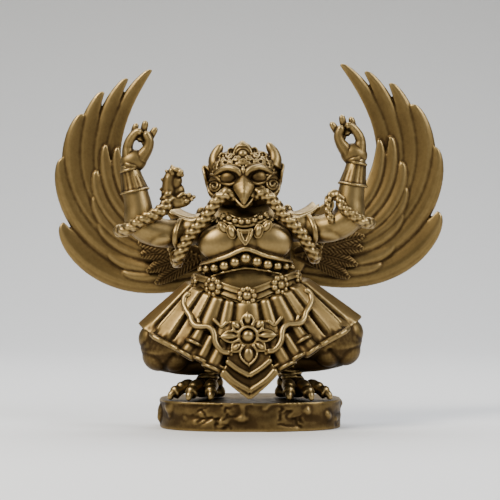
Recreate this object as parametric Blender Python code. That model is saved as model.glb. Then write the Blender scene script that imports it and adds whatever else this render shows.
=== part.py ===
# A small cast statuette of a garuda: squatting, wings spread, a serpent in its beak, on a low rock plinth.
# Real size in metres, +Z up, the statuette faces -Y. The origin is at the middle of the plinth's underside.
# The figure is modelled in parts of its own height, so its points read as millimetres at the real size.
import math

import bmesh
import bpy
from mathutils import Matrix, Vector, noise

# Driving sizes
FIGURE_HEIGHT = 0.0920      # soles to the raised fingertips
WING_SPAN = 0.1306          # across both wings
LEAN_DEG = 1.7              # the cast figure stands a little out of plumb on its plinth
WING_SHIFT = 0.0019         # both wings sit this far to the statuette's left
PLINTH_WIDTH = 0.0598
PLINTH_DEPTH = 0.0400
PLINTH_HEIGHT = 0.0092
JOINT_GAP = 0.0003          # clearance between pieces that rest on each other

# The figure and the wings are laid out in parts, and scaled to real size when they are whole
FIGURE_PARTS = 92.0         # parts in the figure's height
SPAN_PARTS = 130.6          # parts in the wing span
CAST_GRAIN = 0.42           # the finest form that the solids keep
FIGURE_FACES = 6000
WING_FACES = 1400
SEAT_X, SEAT_Y, SEAT_Z = 7.5, 9.3, 48.0     # the flat round seats on the back that carry the wings
SEAT_RADIUS = 4.2
SIDES = (-1, 1)


def clear_scene():
    for thing in list(bpy.data.objects):
        bpy.data.objects.remove(thing)


def finish(name, colour, roughness, metallic):
    """A Principled material with one plain colour."""
    made = bpy.data.materials.new(name)
    made.use_nodes = True
    shader = made.node_tree.nodes["Principled BSDF"]
    shader.inputs["Base Color"].default_value = (*colour, 1)
    shader.inputs["Roughness"].default_value = roughness
    shader.inputs["Metallic"].default_value = metallic
    return made


# Curves and shells

def smooth_line(points, steps):
    """A Catmull-Rom curve through the points, with this many steps for each span."""
    ends = [points[0], *points, points[-1]]
    line = []
    for a, b, c, d in zip(ends, ends[1:], ends[2:], ends[3:]):
        a, b, c, d = Vector(a), Vector(b), Vector(c), Vector(d)
        for step in range(steps):
            t = step / steps
            line.append(0.5 * (2 * b + (c - a) * t + (2 * a - 5 * b + 4 * c - d) * t ** 2
                               + (3 * b - a - 3 * c + d) * t ** 3))
    line.append(Vector(points[-1]))
    return line


def bezier(a, b, c, d, t):
    s = 1 - t
    return a * s ** 3 + b * 3 * s * s * t + c * 3 * s * t * t + d * t ** 3


def spread(values, count):
    """The values, read evenly at this many places."""
    found = []
    for i in range(count):
        place = i / max(count - 1, 1) * (len(values) - 1)
        low = min(int(place), len(values) - 2)
        found.append(values[low] + (values[low + 1] - values[low]) * (place - low))
    return found


def close_rings(clay, rings, first_pole=None, last_pole=None):
    """Skins rings of equal length into one closed shell, with a pole or a flat cap at each end."""
    rows = [[clay.verts.new(p) for p in ring] for ring in rings]
    count = len(rows[0])
    for low, high in zip(rows, rows[1:]):
        for i in range(count):
            j = (i + 1) % count
            clay.faces.new((low[i], low[j], high[j], high[i]))
    for row, pole, turn in ((rows[0], first_pole, True), (rows[-1], last_pole, False)):
        centre = sum((v.co for v in row), Vector()) / count if pole is None else Vector(pole)
        tip = clay.verts.new(centre)
        for i in range(count):
            j = (i + 1) % count
            clay.faces.new((row[j], row[i], tip) if turn else (row[i], row[j], tip))


def tube(clay, line, radii, sides=10, flat=1.0, strands=0, twist=0.0, up=(0, 0, 1)):
    """A round or flattened rod along a line, with domed ends. Strands and twist carve it like a rope."""
    radii = spread(radii, len(line))
    rings = []
    across = Vector(up)
    travelled = 0.0
    for i, point in enumerate(line):
        along = (line[min(i + 1, len(line) - 1)] - line[max(i - 1, 0)]).normalized()
        across = (across - along * across.dot(along)).normalized()
        other = along.cross(across)
        if i:
            travelled += (point - line[i - 1]).length
        ring = []
        for k in range(sides):
            angle = 2 * math.pi * k / sides
            swell = 1.0
            if strands:
                swell += 0.16 * math.cos(strands * (angle + twist * travelled))
            ring.append(point + (across * math.cos(angle) * flat + other * math.sin(angle)) * radii[i] * swell)
        rings.append(ring)
    first = line[0] + (line[0] - line[1]).normalized() * radii[0] * 0.7
    last = line[-1] + (line[-1] - line[-2]).normalized() * radii[-1] * 0.7
    close_rings(clay, rings, first, last)


def rod(clay, points, radii, sides=10, steps=4, **shape):
    tube(clay, smooth_line(points, steps), radii, sides, **shape)


def ball(clay, centre, radii, turn=(0, 0, 0), sides=12, rings=7):
    """An ellipsoid, turned by the three angles in degrees."""
    frame = Matrix.Translation(centre)
    for angle, axis in zip(turn, "XYZ"):
        frame = frame @ Matrix.Rotation(math.radians(angle), 4, axis)
    loops = []
    for r in range(1, rings):
        tilt = math.pi * r / rings
        loops.append([frame @ Vector((radii[0] * math.sin(tilt) * math.cos(2 * math.pi * k / sides),
                                      radii[1] * math.sin(tilt) * math.sin(2 * math.pi * k / sides),
                                      -radii[2] * math.cos(tilt))) for k in range(sides)])
    close_rings(clay, loops, frame @ Vector((0, 0, -radii[2])), frame @ Vector((0, 0, radii[2])))


def sheet(clay, grid, thickness):
    """A slab of even thickness over a grid of points."""
    rows, columns = len(grid), len(grid[0])
    top, under = [], []
    for i in range(rows):
        for j in range(columns):
            down = grid[min(i + 1, rows - 1)][j] - grid[max(i - 1, 0)][j]
            side = grid[i][min(j + 1, columns - 1)] - grid[i][max(j - 1, 0)]
            normal = side.cross(down).normalized() * thickness / 2
            top.append(clay.verts.new(grid[i][j] + normal))
            under.append(clay.verts.new(grid[i][j] - normal))
    for i in range(rows - 1):
        for j in range(columns - 1):
            a, b, c, d = i * columns + j, i * columns + j + 1, (i + 1) * columns + j + 1, (i + 1) * columns + j
            clay.faces.new((top[d], top[c], top[b], top[a]))
            clay.faces.new((under[a], under[b], under[c], under[d]))
    border = [(0, j) for j in range(columns)] + [(i, columns - 1) for i in range(1, rows)]
    border += [(rows - 1, j) for j in range(columns - 2, -1, -1)] + [(i, 0) for i in range(rows - 2, 0, -1)]
    for (i, j), (k, m) in zip(border, border[1:] + border[:1]):
        a, b = i * columns + j, k * columns + m
        clay.faces.new((top[a], top[b], under[b], under[a]))


# The figure, in parts: x to the viewer's right, y away from the viewer, z up from the soles

def skirt_point(turn, drop, swell=0.0):
    """A point on the skirt. Turn is 0 at the front and 180 at the back; drop is 0 at the belt and 1 at the hem."""
    angle = math.radians(turn)
    side, front = math.sin(angle), math.cos(angle)
    forward = front > 0
    belt = Vector((16.6 * side, -2.2 - (12.4 if forward else 9.6) * front, 35.0 + 5.4 * (side * side if forward else 1)))
    hem_z = 26.4 - (18.0 if forward else 12.0) * (1 - abs(side))
    hem = Vector((35.4 * side, -3.0 - (18.0 if forward else 14.5) * front, hem_z))
    out = Vector((side, -front, 0.35)).normalized()
    return belt.lerp(hem, drop) + out * swell


def pleat(turn):
    """0 in the valleys and 1 on the flats of the pleats: round tubes in front, flat boards at the sides and back."""
    away = abs(turn)
    if away < 40:
        return abs(math.cos(math.radians(turn * 180 / 16)))
    place = (away - 40) / 17.5 % 1
    return min(1.0, min(place, 1 - place) * 7)


def skirt(clay):
    turns, drops = 96, 9
    rings = []
    for d in range(drops + 1):
        drop = d / drops
        ring = []
        for k in range(turns):
            turn = 360 * k / turns
            turn = turn - 360 if turn > 180 else turn
            ring.append(skirt_point(turn, drop, (pleat(turn) - 0.6) * (0.5 + 1.5 * drop)))
        rings.append(ring[::-1])
    close_rings(clay, rings, (0, -2, 37), (0, -2, 17))
    # The rolled hem
    hem = [skirt_point(360 * k / turns - 180, 0.985, (pleat(360 * k / turns - 180) - 0.6) * 2) for k in range(turns + 1)]
    tube(clay, hem, [0.75], 6)


def apron(clay):
    """The front cloth: a wavy rolled rim each side, a flower with eight petals, and a pointed double border."""
    lift = 1.5
    for side in SIDES:
        rim = ((19.6, 34.4), (18.7, 32.0), (19.6, 29.8), (17.5, 27.0), (16.2, 24.6), (12.9, 24.4),
               (11.0, 22.4), (10.6, 19.0), (8.3, 17.0), (7.4, 15.4))
        rod(clay, [on_skirt(side * x, z, lift) for x, z in rim], [0.75], 6, 3)
        for low, half, tip, radius in ((10.8, 8.2, 4.4, 1.15), (14.4, 6.0, 9.0, 0.85)):
            rod(clay, [on_skirt(side * half, low, 1.7), on_skirt(side * half * 0.5, (low + tip) / 2 - 0.3, 2.4),
                       on_skirt(0, tip, 2.8)], [radius], 6, 3)
    point = [on_skirt(x, z, 1.2) for x, z in ((-8.5, 11.5), (0, 2.0), (8.5, 11.5))]
    top = [on_skirt(x, z, 1.2) for x, z in ((-9.5, 22), (0, 24), (9.5, 22))]
    grid = [[a.lerp(b, t) for a, b in zip(spread(top, 9), spread(point, 9))] for t in (0, 0.3, 0.6, 0.85, 1)]
    sheet(clay, grid, 2.2)
    centre = on_skirt(0, 21.2, 2.4)
    ball(clay, centre, (2.3, 1.9, 2.3))
    tube(clay, [centre + Vector((3.0 * math.cos(a), 0.1, 3.0 * math.sin(a)))
                for a in (math.radians(30 * k) for k in range(13))], [0.6], 6)
    for k in range(8):
        angle = math.radians(45 * k)
        long_petal = k % 2 == 0
        reach = (6.6 if k == 6 else 5.9) if long_petal else 5.1
        size = (3.2 if long_petal else 2.1, 1.3, 1.7 if long_petal else 1.5)
        place = on_skirt(reach * math.cos(angle), 21.2 + reach * math.sin(angle), 2.0)
        ball(clay, place, size, (0, -math.degrees(angle), 0), 8, 6)


def on_skirt(x, z, lift):
    """The point over the skirt's front at this x and height."""
    best, low, high = None, 0.0, 1.6
    for _ in range(24):
        drop = (low + high) / 2
        reach = 16.6 + 18.8 * drop
        turn = math.degrees(math.asin(max(-1.0, min(1.0, x / reach))))
        best = skirt_point(turn, drop)
        if best.z > z:
            low = drop
        else:
            high = drop
    return best + Vector((0, -lift, 0))


def seat_boss(clay, side, back, front):
    """A round boss that is cut flat where a wing meets the back."""
    close_rings(clay, [[(side * SEAT_X + SEAT_RADIUS * math.cos(a), y, SEAT_Z + SEAT_RADIUS * math.sin(a))
                        for a in (2 * math.pi * k / 20 for k in range(20))] for y in (back, front)])


def torso(clay):
    # height, half width, front and back of each level
    levels = ((33, 15.6, -13.0, 7.4), (38, 14.6, -13.6, 7.4), (42.5, 14.4, -12.2, 7.4), (46, 15.6, -12.4, 7.6),
              (50, 16.2, -13.0, 7.8), (54, 16.4, -12.6, 7.8), (57.5, 15.6, -10.6, 7.4), (60.5, 11.5, -8.0, 6.6),
              (63, 7.5, -6.0, 5.2))
    rings = []
    for z, half, front, back in levels:
        middle, depth = (front + back) / 2, (back - front) / 2
        rings.append([(half * math.sin(a), middle - depth * math.cos(a), z)
                      for a in (2 * math.pi * k / 28 for k in range(28))][::-1])
    close_rings(clay, [r[::-1] for r in rings])
    for side in SIDES:
        ball(clay, (side * 7.2, -8.6, 50.4), (7.6, 6.2, 6.4), (0, side * 8, 0), 16, 9)
        ball(clay, (side * SEAT_X, 6.5, SEAT_Z), (6.0, 2.5, 6.0))
        seat_boss(clay, side, SEAT_Y + 1.0, 3.0)
    ridge = ((17.0, -7.5, 44.0), (13.0, -10.8, 44.6), (7.4, -13.2, 45.5), (2.7, -14.0, 47.2), (0, -14.3, 48.3))
    rod(clay, list(ridge) + [(-x, y, z) for x, y, z in ridge[-2::-1]], [0.7, 0.9, 0.95, 0.9, 0.7], 6, 4)


def torso_ornament(clay):
    for x, y, z, size in ((0, -13.2, 45.0, 1.5), (3.6, -12.6, 43.9, 1.45), (7.2, -11.4, 42.8, 1.4),
                          (10.3, -9.4, 42.4, 1.3), (12.7, -6.8, 42.3, 1.25), (14.2, -3.8, 42.0, 1.1)):
        for side in SIDES if x else (1,):
            ball(clay, (side * x, y, z), (size, size, size), (0, 0, 0), 8, 6)
    for half, low, high, size in ((5.6, 58.0, 59.8, 0.6), (7.8, 55.4, 58.6, 0.7)):
        rod(clay, [(-half, -11.6, high), (-half / 2, -12.9, (low + high) / 2 - 0.5), (0, -13.6, low),
                   (half / 2, -12.9, (low + high) / 2 - 0.5), (half, -11.6, high)], [size], 6, 4)
    for k in range(-3, 4):
        ball(clay, (k * 2.2, -13.5 + abs(k) * 0.45, 56.8 + k * k * 0.2), (1.0, 0.8, 0.8), (0, 0, 0), 8, 6)
    for side in SIDES:
        ball(clay, (side * 3.9, -14.4, 53.7), (1.0, 0.9, 2.0), (0, side * 20, 0), 8, 6)
        ball(clay, (side * 6.4, -14.0, 54.7), (1.0, 0.9, 2.0), (0, side * 38, 0), 8, 6)
        rod(clay, [(side * 2.2, -14.4, 54.3), (side * 1.9, -14.8, 52.2), (0, -15.0, 49.6)], [0.6], 6, 3)
    rod(clay, [(-2.2, -14.4, 54.3), (0, -14.6, 54.0), (2.2, -14.4, 54.3)], [0.6], 6, 3)
    # Belt: three ribs and five rosettes
    for step, size in ((-1.9, 0.75), (0.0, 1.0), (1.9, 0.75)):
        rod(clay, [belt_point(turn, step) for turn in range(-100, 101, 20)], [size], 6, 2)
    for turn, size in ((0, 1.0), (42, 1.0), (-42, 1.0), (76, 0.72), (-76, 0.72)):
        centre = belt_point(turn, 0.2) + Vector((math.sin(math.radians(turn)), -math.cos(math.radians(turn)), 0)) * 0.6
        ball(clay, centre, (1.5 * size, 1.5 * size, 1.5 * size), (0, 0, 0), 8, 6)
        across = Vector((math.cos(math.radians(turn)), math.sin(math.radians(turn)), 0))
        for k in range(8):
            angle = math.radians(45 * k)
            place = centre + (across * math.cos(angle) + Vector((0, 0, 1)) * math.sin(angle)) * 2.4 * size
            ball(clay, place, (0.85 * size, 0.85 * size, 0.85 * size), (0, 0, 0), 6, 5)


def belt_point(turn, rise):
    """A point on the belt, which hangs lower in front."""
    angle = math.radians(turn)
    return Vector((16.2 * math.sin(angle), -2.4 - 12.2 * math.cos(angle), 34.0 + 6.4 * math.sin(angle) ** 2 + rise))


def cape(clay):
    """The shoulder cape: two dished flaps with a rolled rim, turned up at the outer ends."""
    for side in SIDES:
        rim = [Vector((side * x, y, z)) for x, y, z in
               ((9.5, -9.4, 58.0), (13.5, -8.2, 58.3), (17.5, -6.9, 57.8), (21.3, -5.6, 59.4), (24.2, -3.6, 62.2))]
        rim = smooth_line(rim, 3)
        back = [Vector((p.x * 0.9, 5.6, p.z + 0.6)) for p in rim]
        middle = [a.lerp(b, 0.5) + Vector((0, 0, 0.7)) for a, b in zip(rim, back)]
        rows = [rim, middle, back]
        sheet(clay, rows if side > 0 else rows[::-1], 1.6)
        tube(clay, rim, [0.85], 6)
        ball(clay, (side * 14.2, 2.6, 61.2), (1.9, 1.4, 2.3), (0, side * -12, 0), 8, 6)
        rod(clay, [(side * x, y, z) for x, y, z in
                   ((21.3, -8.2, 56.6), (22.2, -9.4, 53.8), (22.8, -8.4, 50.6), (22.4, -5.0, 49.6))], [0.75], 6, 3)


def arms(clay):
    for side in SIDES:
        rod(clay, [(side * x, y, z) for x, y, z in
                   ((14, -1, 55.5), (19, -3, 54.6), (25, -4.6, 54.0), (31, -5.5, 55.6), (34.6, -5.5, 59.2),
                    (34.6, -5.5, 63.4), (35.3, -5.5, 69.0), (36.9, -5.5, 76.5))],
            [5.0, 4.8, 4.4, 4.7, 4.5, 4.0, 3.7, 2.8], 14)
        cuff = [Vector((side * x, -5.5, z)) for x, z in ((35.1, 68.0), (35.3, 68.9), (36.5, 74.2), (36.8, 75.2))]
        tube(clay, cuff, [4.6, 4.3, 3.4, 3.5], 16)
        hand(clay, side)


def hand(clay, side):
    """A raised hand with thumb and finger closed in a ring."""
    def digit(points, radii, sides=8):
        rod(clay, [(side * x, y, z) for x, y, z in points], radii, sides, 3)

    ball(clay, (side * 34.7, -5.8, 79.4), (4.3, 2.5, 3.7), (0, side * 18, 0), 14, 9)
    digit(((37.0, -5.8, 79.6), (36.9, -6.1, 82.6), (35.9, -6.6, 85.2), (34.2, -7.0, 86.7)), [1.9, 1.6, 1.35, 1.15])
    digit(((31.4, -6.4, 79.8), (30.3, -6.8, 82.4), (30.6, -7.0, 84.6), (33.6, -7.2, 86.6)), [1.8, 1.45, 1.3, 1.1])
    digit(((35.3, -5.6, 85.6), (34.5, -5.8, 87.6), (34.0, -6.2, 89.6)), [1.2, 1.05, 1.1])
    digit(((30.5, -5.4, 83.0), (31.5, -5.5, 87.0), (31.0, -6.0, 90.6)), [1.3, 1.15, 1.1])
    digit(((30.0, -5.0, 81.5), (29.1, -5.2, 85.0), (27.9, -6.0, 88.0)), [1.4, 1.1, 1.0])


def legs(clay):
    for side in SIDES:
        rod(clay, [(side * x, y, z) for x, y, z in
                   ((8, 0, 24), (18, -3, 21), (27.3, -5.0, 18.0), (24.0, -3.4, 14.6), (16.5, -1.0, 12.0), (13.4, -0.5, 10.5))],
            [9.0, 9.0, 8.8, 6.4, 4.6, 3.6], 16)


def feet(clay):
    """Bird's feet: a wrinkled shank, three toes forward and one behind, each with a claw."""
    for side in SIDES:
        rod(clay, [(side * x, y, z) for x, y, z in ((13.0, -0.5, 12.0), (13.6, -1.2, 8.0), (15.6, -2.4, 3.6))],
            [3.6, 3.1, 3.0], 12)
        toes = (((17.0, -4.0, 4.0), (21.6, -7.6, 4.3), (24.6, -9.6, 2.6)),
                ((16.0, -5.0, 4.2), (18.3, -10.4, 4.4), (19.6, -13.4, 2.6)),
                ((15.0, -5.0, 4.2), (13.5, -11.2, 4.6), (13.4, -14.4, 2.6)),
                ((15.2, 0.0, 3.4), (14.8, 5.4, 3.2), (14.6, 8.6, 2.2)))
        for toe in toes:
            start, knuckle, end = (Vector((side * x, y, z)) for x, y, z in toe)
            rod(clay, [start, knuckle, end], [2.0, 1.75, 1.6], 10, 3)
            ahead = Vector((end.x - knuckle.x, end.y - knuckle.y, 0)).normalized()
            rod(clay, [end, end + ahead * 1.2 + Vector((0, 0, -0.9)), end + ahead * 1.7 + Vector((0, 0, -2.6))],
                [1.2, 0.95, 0.6], 8, 2)


def snake(clay):
    """The serpent: out of both corners of the beak, down past the armpits and round each elbow."""
    chest = ((3.2, -12.6, 65.6), (5.6, -13.6, 66.0), (8.2, -13.4, 64.4), (10.4, -12.8, 61.7), (12.5, -12.4, 58.8),
             (14.9, -12.0, 56.2), (17.9, -10.8, 53.0), (19.9, -9.0, 49.2), (21.6, -6.6, 45.4), (24.2, -2.4, 44.0),
             (27.6, 2.0, 47.0), (33.4, 1.6, 51.0), (38.6, 0.2, 52.6), (40.6, -4.6, 54.0))
    head_end = ((38.2, -9.0, 55.6), (32.4, -10.9, 58.6), (27.4, -10.2, 60.8), (24.6, -8.8, 63.6), (24.4, -7.6, 67.0))
    tail_end = ((38.4, -9.0, 55.2), (34.4, -10.8, 58.2), (31.4, -10.4, 61.0), (30.8, -9.4, 64.6), (29.2, -8.6, 66.4),
                (27.3, -8.4, 64.8), (27.2, -9.0, 60.8), (28.6, -9.8, 56.6))
    for side, end, radii in ((-1, head_end, [1.8, 1.8, 1.8, 1.9, 2.0, 2.1]), (1, tail_end, [1.8, 1.8, 1.8, 1.8, 1.6, 0.9])):
        line = smooth_line([(side * x, y, z) for x, y, z in chest + end], 6)
        tube(clay, line, radii, 12, strands=3, twist=side * 0.55)
    # Its head, with the jaws wide open towards the figure's face
    rod(clay, [(-24.4, -7.6, 65.6), (-25.0, -7.4, 70.0), (-23.4, -7.4, 73.6), (-20.9, -7.6, 74.4), (-19.0, -7.8, 72.8)],
        [2.4, 2.2, 1.8, 1.3, 0.7], 10)
    rod(clay, [(-24.6, -7.8, 65.6), (-21.0, -8.0, 64.6), (-18.0, -8.0, 64.7), (-15.5, -8.0, 65.8)], [2.2, 1.8, 1.4, 0.7], 10)
    ball(clay, (-22.6, -6.4, 69.2), (2.6, 0.9, 3.6))
    ball(clay, (-26.0, -7.6, 72.2), (1.2, 0.9, 1.2), (0, 0, 0), 8, 6)
    ball(clay, (-18.2, -8.0, 67.2), (1.3, 0.8, 1.0), (0, 0, 0), 8, 6)


def head(clay):
    ball(clay, (0, -2.5, 72.5), (12.0, 10.6, 11.0), (0, 0, 0), 24, 15)
    ball(clay, (0, -3.4, 67.0), (11.2, 9.4, 6.6), (0, 0, 0), 20, 11)
    ball(clay, (0, -1.0, 61.5), (6.5, 6.5, 5.0))
    for side in SIDES:
        # Brow, cheek, eye, and the curl on the cheek
        rod(clay, [(side * x, y, z) for x, y, z in
                   ((0.8, -13.4, 72.6), (3.4, -13.4, 74.0), (6.6, -12.4, 74.2), (9.6, -9.6, 72.8))], [0.9, 1.3, 1.2, 0.7], 8)
        ball(clay, (side * 4.7, -11.4, 71.0), (2.4, 1.6, 1.6), (0, side * -6, 0), 12, 8)
        rod(clay, [(side * x, y, z) for x, y, z in
                   ((2.2, -13.4, 69.2), (4.6, -13.0, 68.4), (7.0, -11.8, 69.2), (8.6, -9.8, 71.0))], [0.6, 0.7, 0.6, 0.4], 6)
        ball(clay, (side * 6.6, -9.8, 66.6), (3.6, 2.6, 2.0))
        curl = [Vector((side * (9.4 + r * math.cos(a)), -8.2 + 0.25 * r * math.cos(a), 68.8 + r * math.sin(a)))
                for a, r in ((0.6 * k, 2.5 - 0.16 * k) for k in range(12))]
        tube(clay, curl, [0.65], 6)
        # Horn and ear
        rod(clay, [(side * x, y, z) for x, y, z in
                   ((10.6, -2.6, 75.0), (12.0, -3.0, 78.0), (10.6, -3.2, 80.4), (8.8, -3.2, 82.4))], [2.6, 2.1, 1.6, 1.1], 10)
        rod(clay, [(side * x, y, z) for x, y, z in
                   ((12.0, 0.0, 71.4), (13.1, 0.0, 73.4), (13.4, 0.0, 76.4))], [1.5, 1.2, 0.7], 8, flat=0.8)
        ball(clay, (side * 2.7, -9.4, 80.0), (1.4, 1.1, 2.2), (0, side * 24, 0), 8, 6)
        ball(clay, (side * 6.0, -8.4, 78.6), (1.4, 1.1, 2.0), (0, side * 34, 0), 8, 6)
        ball(clay, (side * 3.0, -11.4, 76.6), (1.2, 0.8, 1.2), (0, 0, 0), 8, 6)
    # Beak: a hooked upper half over a pointed lower jaw
    rings = []
    for y, z, half, deep in ((-10.5, 69.6, 3.4, 3.0), (-13.0, 69.4, 3.2, 2.7), (-15.2, 68.0, 2.6, 2.4),
                             (-16.8, 65.8, 1.9, 1.9), (-17.2, 63.8, 1.1, 1.2), (-16.9, 62.3, 0.4, 0.5)):
        slope = Vector((0, -0.6, 0.8))
        rings.append([Vector((half * math.cos(a), y, z)) + slope * deep * math.sin(a)
                      for a in (2 * math.pi * k / 12 for k in range(12))])
    close_rings(clay, rings)
    rod(clay, [(-3.5, -12.0, 64.8), (-1.6, -14.2, 62.8), (0, -15.0, 61.7), (1.6, -14.2, 62.8), (3.5, -12.0, 64.8)],
        [0.8], 6, 3)
    ball(clay, (0, -10.8, 62.2), (3.4, 3.0, 2.0))
    # Diadem: the crest, its jewel and the band
    ball(clay, (0, -8.0, 81.0), (3.4, 1.6, 3.0), (0, 0, 0), 10, 7)
    ball(clay, (0, -10.2, 79.2), (1.9, 1.4, 1.8))
    rod(clay, [(-9.8, -7.4, 76.0), (-5.4, -11.0, 75.6), (0, -12.4, 75.8), (5.4, -11.0, 75.6), (9.8, -7.4, 76.0)], [0.8], 6, 3)
    for k in range(-4, 5):
        ball(clay, (k * 2.3, 6.4 - abs(k) * 0.7, 70.0), (1.3, 1.9, 7.0), (0, 0, 0), 8, 7)


# The wings, in parts of the span: x outwards, z up from the soles

PRIMARIES = (  # tip, and the two pulls on the quill's curve
    ((31.3, 109.6), (34.0, 48.0), (63.5, 70.0)),
    ((39.4, 106.9), (38.0, 46.0), (63.5, 68.0)),
    ((47.7, 102.7), (40.0, 44.0), (66.0, 66.0)),
    ((55.0, 95.5), (42.0, 40.0), (68.5, 64.0)),
    ((62.6, 80.9), (36.0, 38.0), (64.0, 50.0)),
    ((63.4, 58.8), (38.0, 33.5), (58.0, 41.0)))
SECONDARIES = (
    ((43.8, 84.1), (32.0, 54.0), (45.0, 64.0)),
    ((47.6, 85.1), (34.0, 51.0), (50.0, 62.0)),
    ((51.2, 76.3), (34.0, 48.0), (51.5, 57.0)),
    ((52.1, 67.8), (34.0, 46.0), (49.5, 52.5)),
    ((50.8, 59.3), (32.0, 45.0), (46.5, 49.0)),
    ((48.4, 49.7), (30.0, 42.0), (42.0, 42.5)),
    ((43.2, 42.2), (28.0, 40.5), (38.0, 39.5)))
COVERTS = (
    ((38.1, 47.8), (24.0, 52.0), (32.0, 49.0)),
    ((34.2, 38.9), (20.0, 48.0), (27.0, 42.0)),
    ((33.0, 56.0), (18.0, 52.0), (26.0, 56.0)))


def wing_depth(x, z):
    """How far back the wing lies: it swings back from the seat and its rim comes forward again, like a bowl."""
    away = math.hypot(x - SEAT_X, z - SEAT_Z) / 60
    return 13.6 + 7.5 * math.sin(min(away, 1.15) * 2.3)


def feather(clay, root, shape, width, layer, stations=16):
    """One carved feather: a long blade with a raised quill ridge, thin at both edges."""
    tip, pull_a, pull_b = (Vector((x, 0, z)) for x, z in shape)
    start = Vector((root[0], 0, root[1]))
    rings = []
    for i in range(stations + 1):
        t = i / stations
        place = bezier(start, pull_a, pull_b, tip, min(t, 0.995))
        ahead = bezier(start, pull_a, pull_b, tip, min(t, 0.995) + 0.005)
        along = (ahead - place).normalized()
        across = Vector((along.z, 0, -along.x))
        half = width / 2 * (0.62 + 0.38 * math.sin(math.pi * min(1, t * 1.35) * 0.5)) * math.sqrt(max(1 - t ** 7, 0.012))
        back = wing_depth(place.x, place.z) - layer
        place.y = back
        rise = 0.42 * half
        ring = [place + across * half, place + across * half * 0.12 + Vector((0, -rise, 0)),
                place - across * half * 0.12 + Vector((0, -rise, 0)), place - across * half,
                place - across * half * 0.85 + Vector((0, 1.3, 0)), place + across * half * 0.85 + Vector((0, 1.3, 0))]
        rings.append(ring)
    close_rings(clay, rings)


def wing(clay):
    for k, shape in enumerate(PRIMARIES):
        feather(clay, (9.0, 50.0 - 1.6 * k), shape, 7.4, 0.35 * k, 18)
    for k, shape in enumerate(SECONDARIES):
        feather(clay, (12.0, 49.5 - 1.2 * k), shape, 5.4, 2.0 + 0.15 * k, 12)
    for shape in COVERTS:
        feather(clay, (12.0, 46.0), shape, 5.6, 3.6, 8)
    ball(clay, (SEAT_X + 3.5, SEAT_Y + 3.8, SEAT_Z - 2.0), (7.5, 2.8, 8.0), (0, -20, 0), 14, 9)
    seat_boss(clay, 1, SEAT_Y + 4.0, SEAT_Y - 1.0)


# From shells to castings

def cutter(name, low, high):
    """A hidden block that trims a casting flat."""
    mesh = bpy.data.meshes.new(name)
    block = bmesh.new()
    bmesh.ops.create_cube(block, size=1)
    for vert in block.verts:
        vert.co = Vector([a + (b - a) * (c + 0.5) for a, b, c in zip(low, high, vert.co)])
    block.to_mesh(mesh)
    block.free()
    made = bpy.data.objects.new(name, mesh)
    made.hide_render = True
    made.display_type = "WIRE"
    bpy.context.scene.collection.objects.link(made)
    return made


def cast(name, clay, faces, place, material, blocks):
    """Fuses the overlapping shells into one solid, thins it, moves each point to its real place, and trims it flat."""
    bmesh.ops.recalc_face_normals(clay, faces=clay.faces)
    shells = bpy.data.meshes.new(name + "_shells")
    clay.to_mesh(shells)
    clay.free()
    rough = bpy.data.objects.new(name + "_shells", shells)
    bpy.context.scene.collection.objects.link(rough)
    fuse = rough.modifiers.new("fuse", "REMESH")
    fuse.mode = "VOXEL"
    fuse.voxel_size = CAST_GRAIN
    dense = len(rough.evaluated_get(bpy.context.evaluated_depsgraph_get()).data.polygons) * 2
    thin = rough.modifiers.new("thin", "DECIMATE")
    thin.ratio = min(1.0, faces / dense)
    mesh = bpy.data.meshes.new_from_object(rough.evaluated_get(bpy.context.evaluated_depsgraph_get()))
    mesh.name = name
    bpy.data.objects.remove(rough)
    keep_largest(mesh)
    for vert in mesh.vertices:
        vert.co = place(vert.co)
    mesh.materials.clear()
    mesh.materials.append(material)
    made = bpy.data.objects.new(name, mesh)
    bpy.context.scene.collection.objects.link(made)
    for number, block in enumerate(blocks):
        trim = made.modifiers.new("trim_" + str(number), "BOOLEAN")
        trim.operation = "DIFFERENCE"
        trim.object = block
    return made


def keep_largest(mesh):
    """Drops the crumbs that the fusing leaves inside a shell."""
    whole = bmesh.new()
    whole.from_mesh(mesh)
    left = set(whole.faces)
    groups = []
    while left:
        stack = [left.pop()]
        group = []
        while stack:
            face = stack.pop()
            group.append(face)
            for edge in face.edges:
                for other in edge.link_faces:
                    if other in left:
                        left.remove(other)
                        stack.append(other)
        groups.append(group)
    groups.sort(key=len)
    for group in groups[:-1]:
        bmesh.ops.delete(whole, geom=group, context="FACES")
    loose = [v for v in whole.verts if not v.link_faces]
    bmesh.ops.delete(whole, geom=loose, context="VERTS")
    whole.to_mesh(mesh)
    whole.free()


def build_figure(material):
    unit = FIGURE_HEIGHT / FIGURE_PARTS
    sole = PLINTH_HEIGHT + JOINT_GAP
    clay = bmesh.new()
    for make in (torso, torso_ornament, skirt, apron, cape, arms, legs, snake, head):
        make(clay)
    lean = Matrix.Rotation(-math.radians(LEAN_DEG), 4, "Y")
    bmesh.ops.transform(clay, verts=clay.verts, matrix=lean)
    feet(clay)
    sole_block = cutter("sole_block", (-PLINTH_WIDTH, -PLINTH_DEPTH, -PLINTH_HEIGHT), (PLINTH_WIDTH, PLINTH_DEPTH, sole))
    seat_block = cutter("seat_block", (-20 * unit, SEAT_Y * unit, sole + 40 * unit), (20 * unit, 20 * unit, sole + 56 * unit))
    return cast("figure", clay, FIGURE_FACES, lambda p: p * unit + Vector((0, 0, sole)), material, (sole_block, seat_block))


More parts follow.
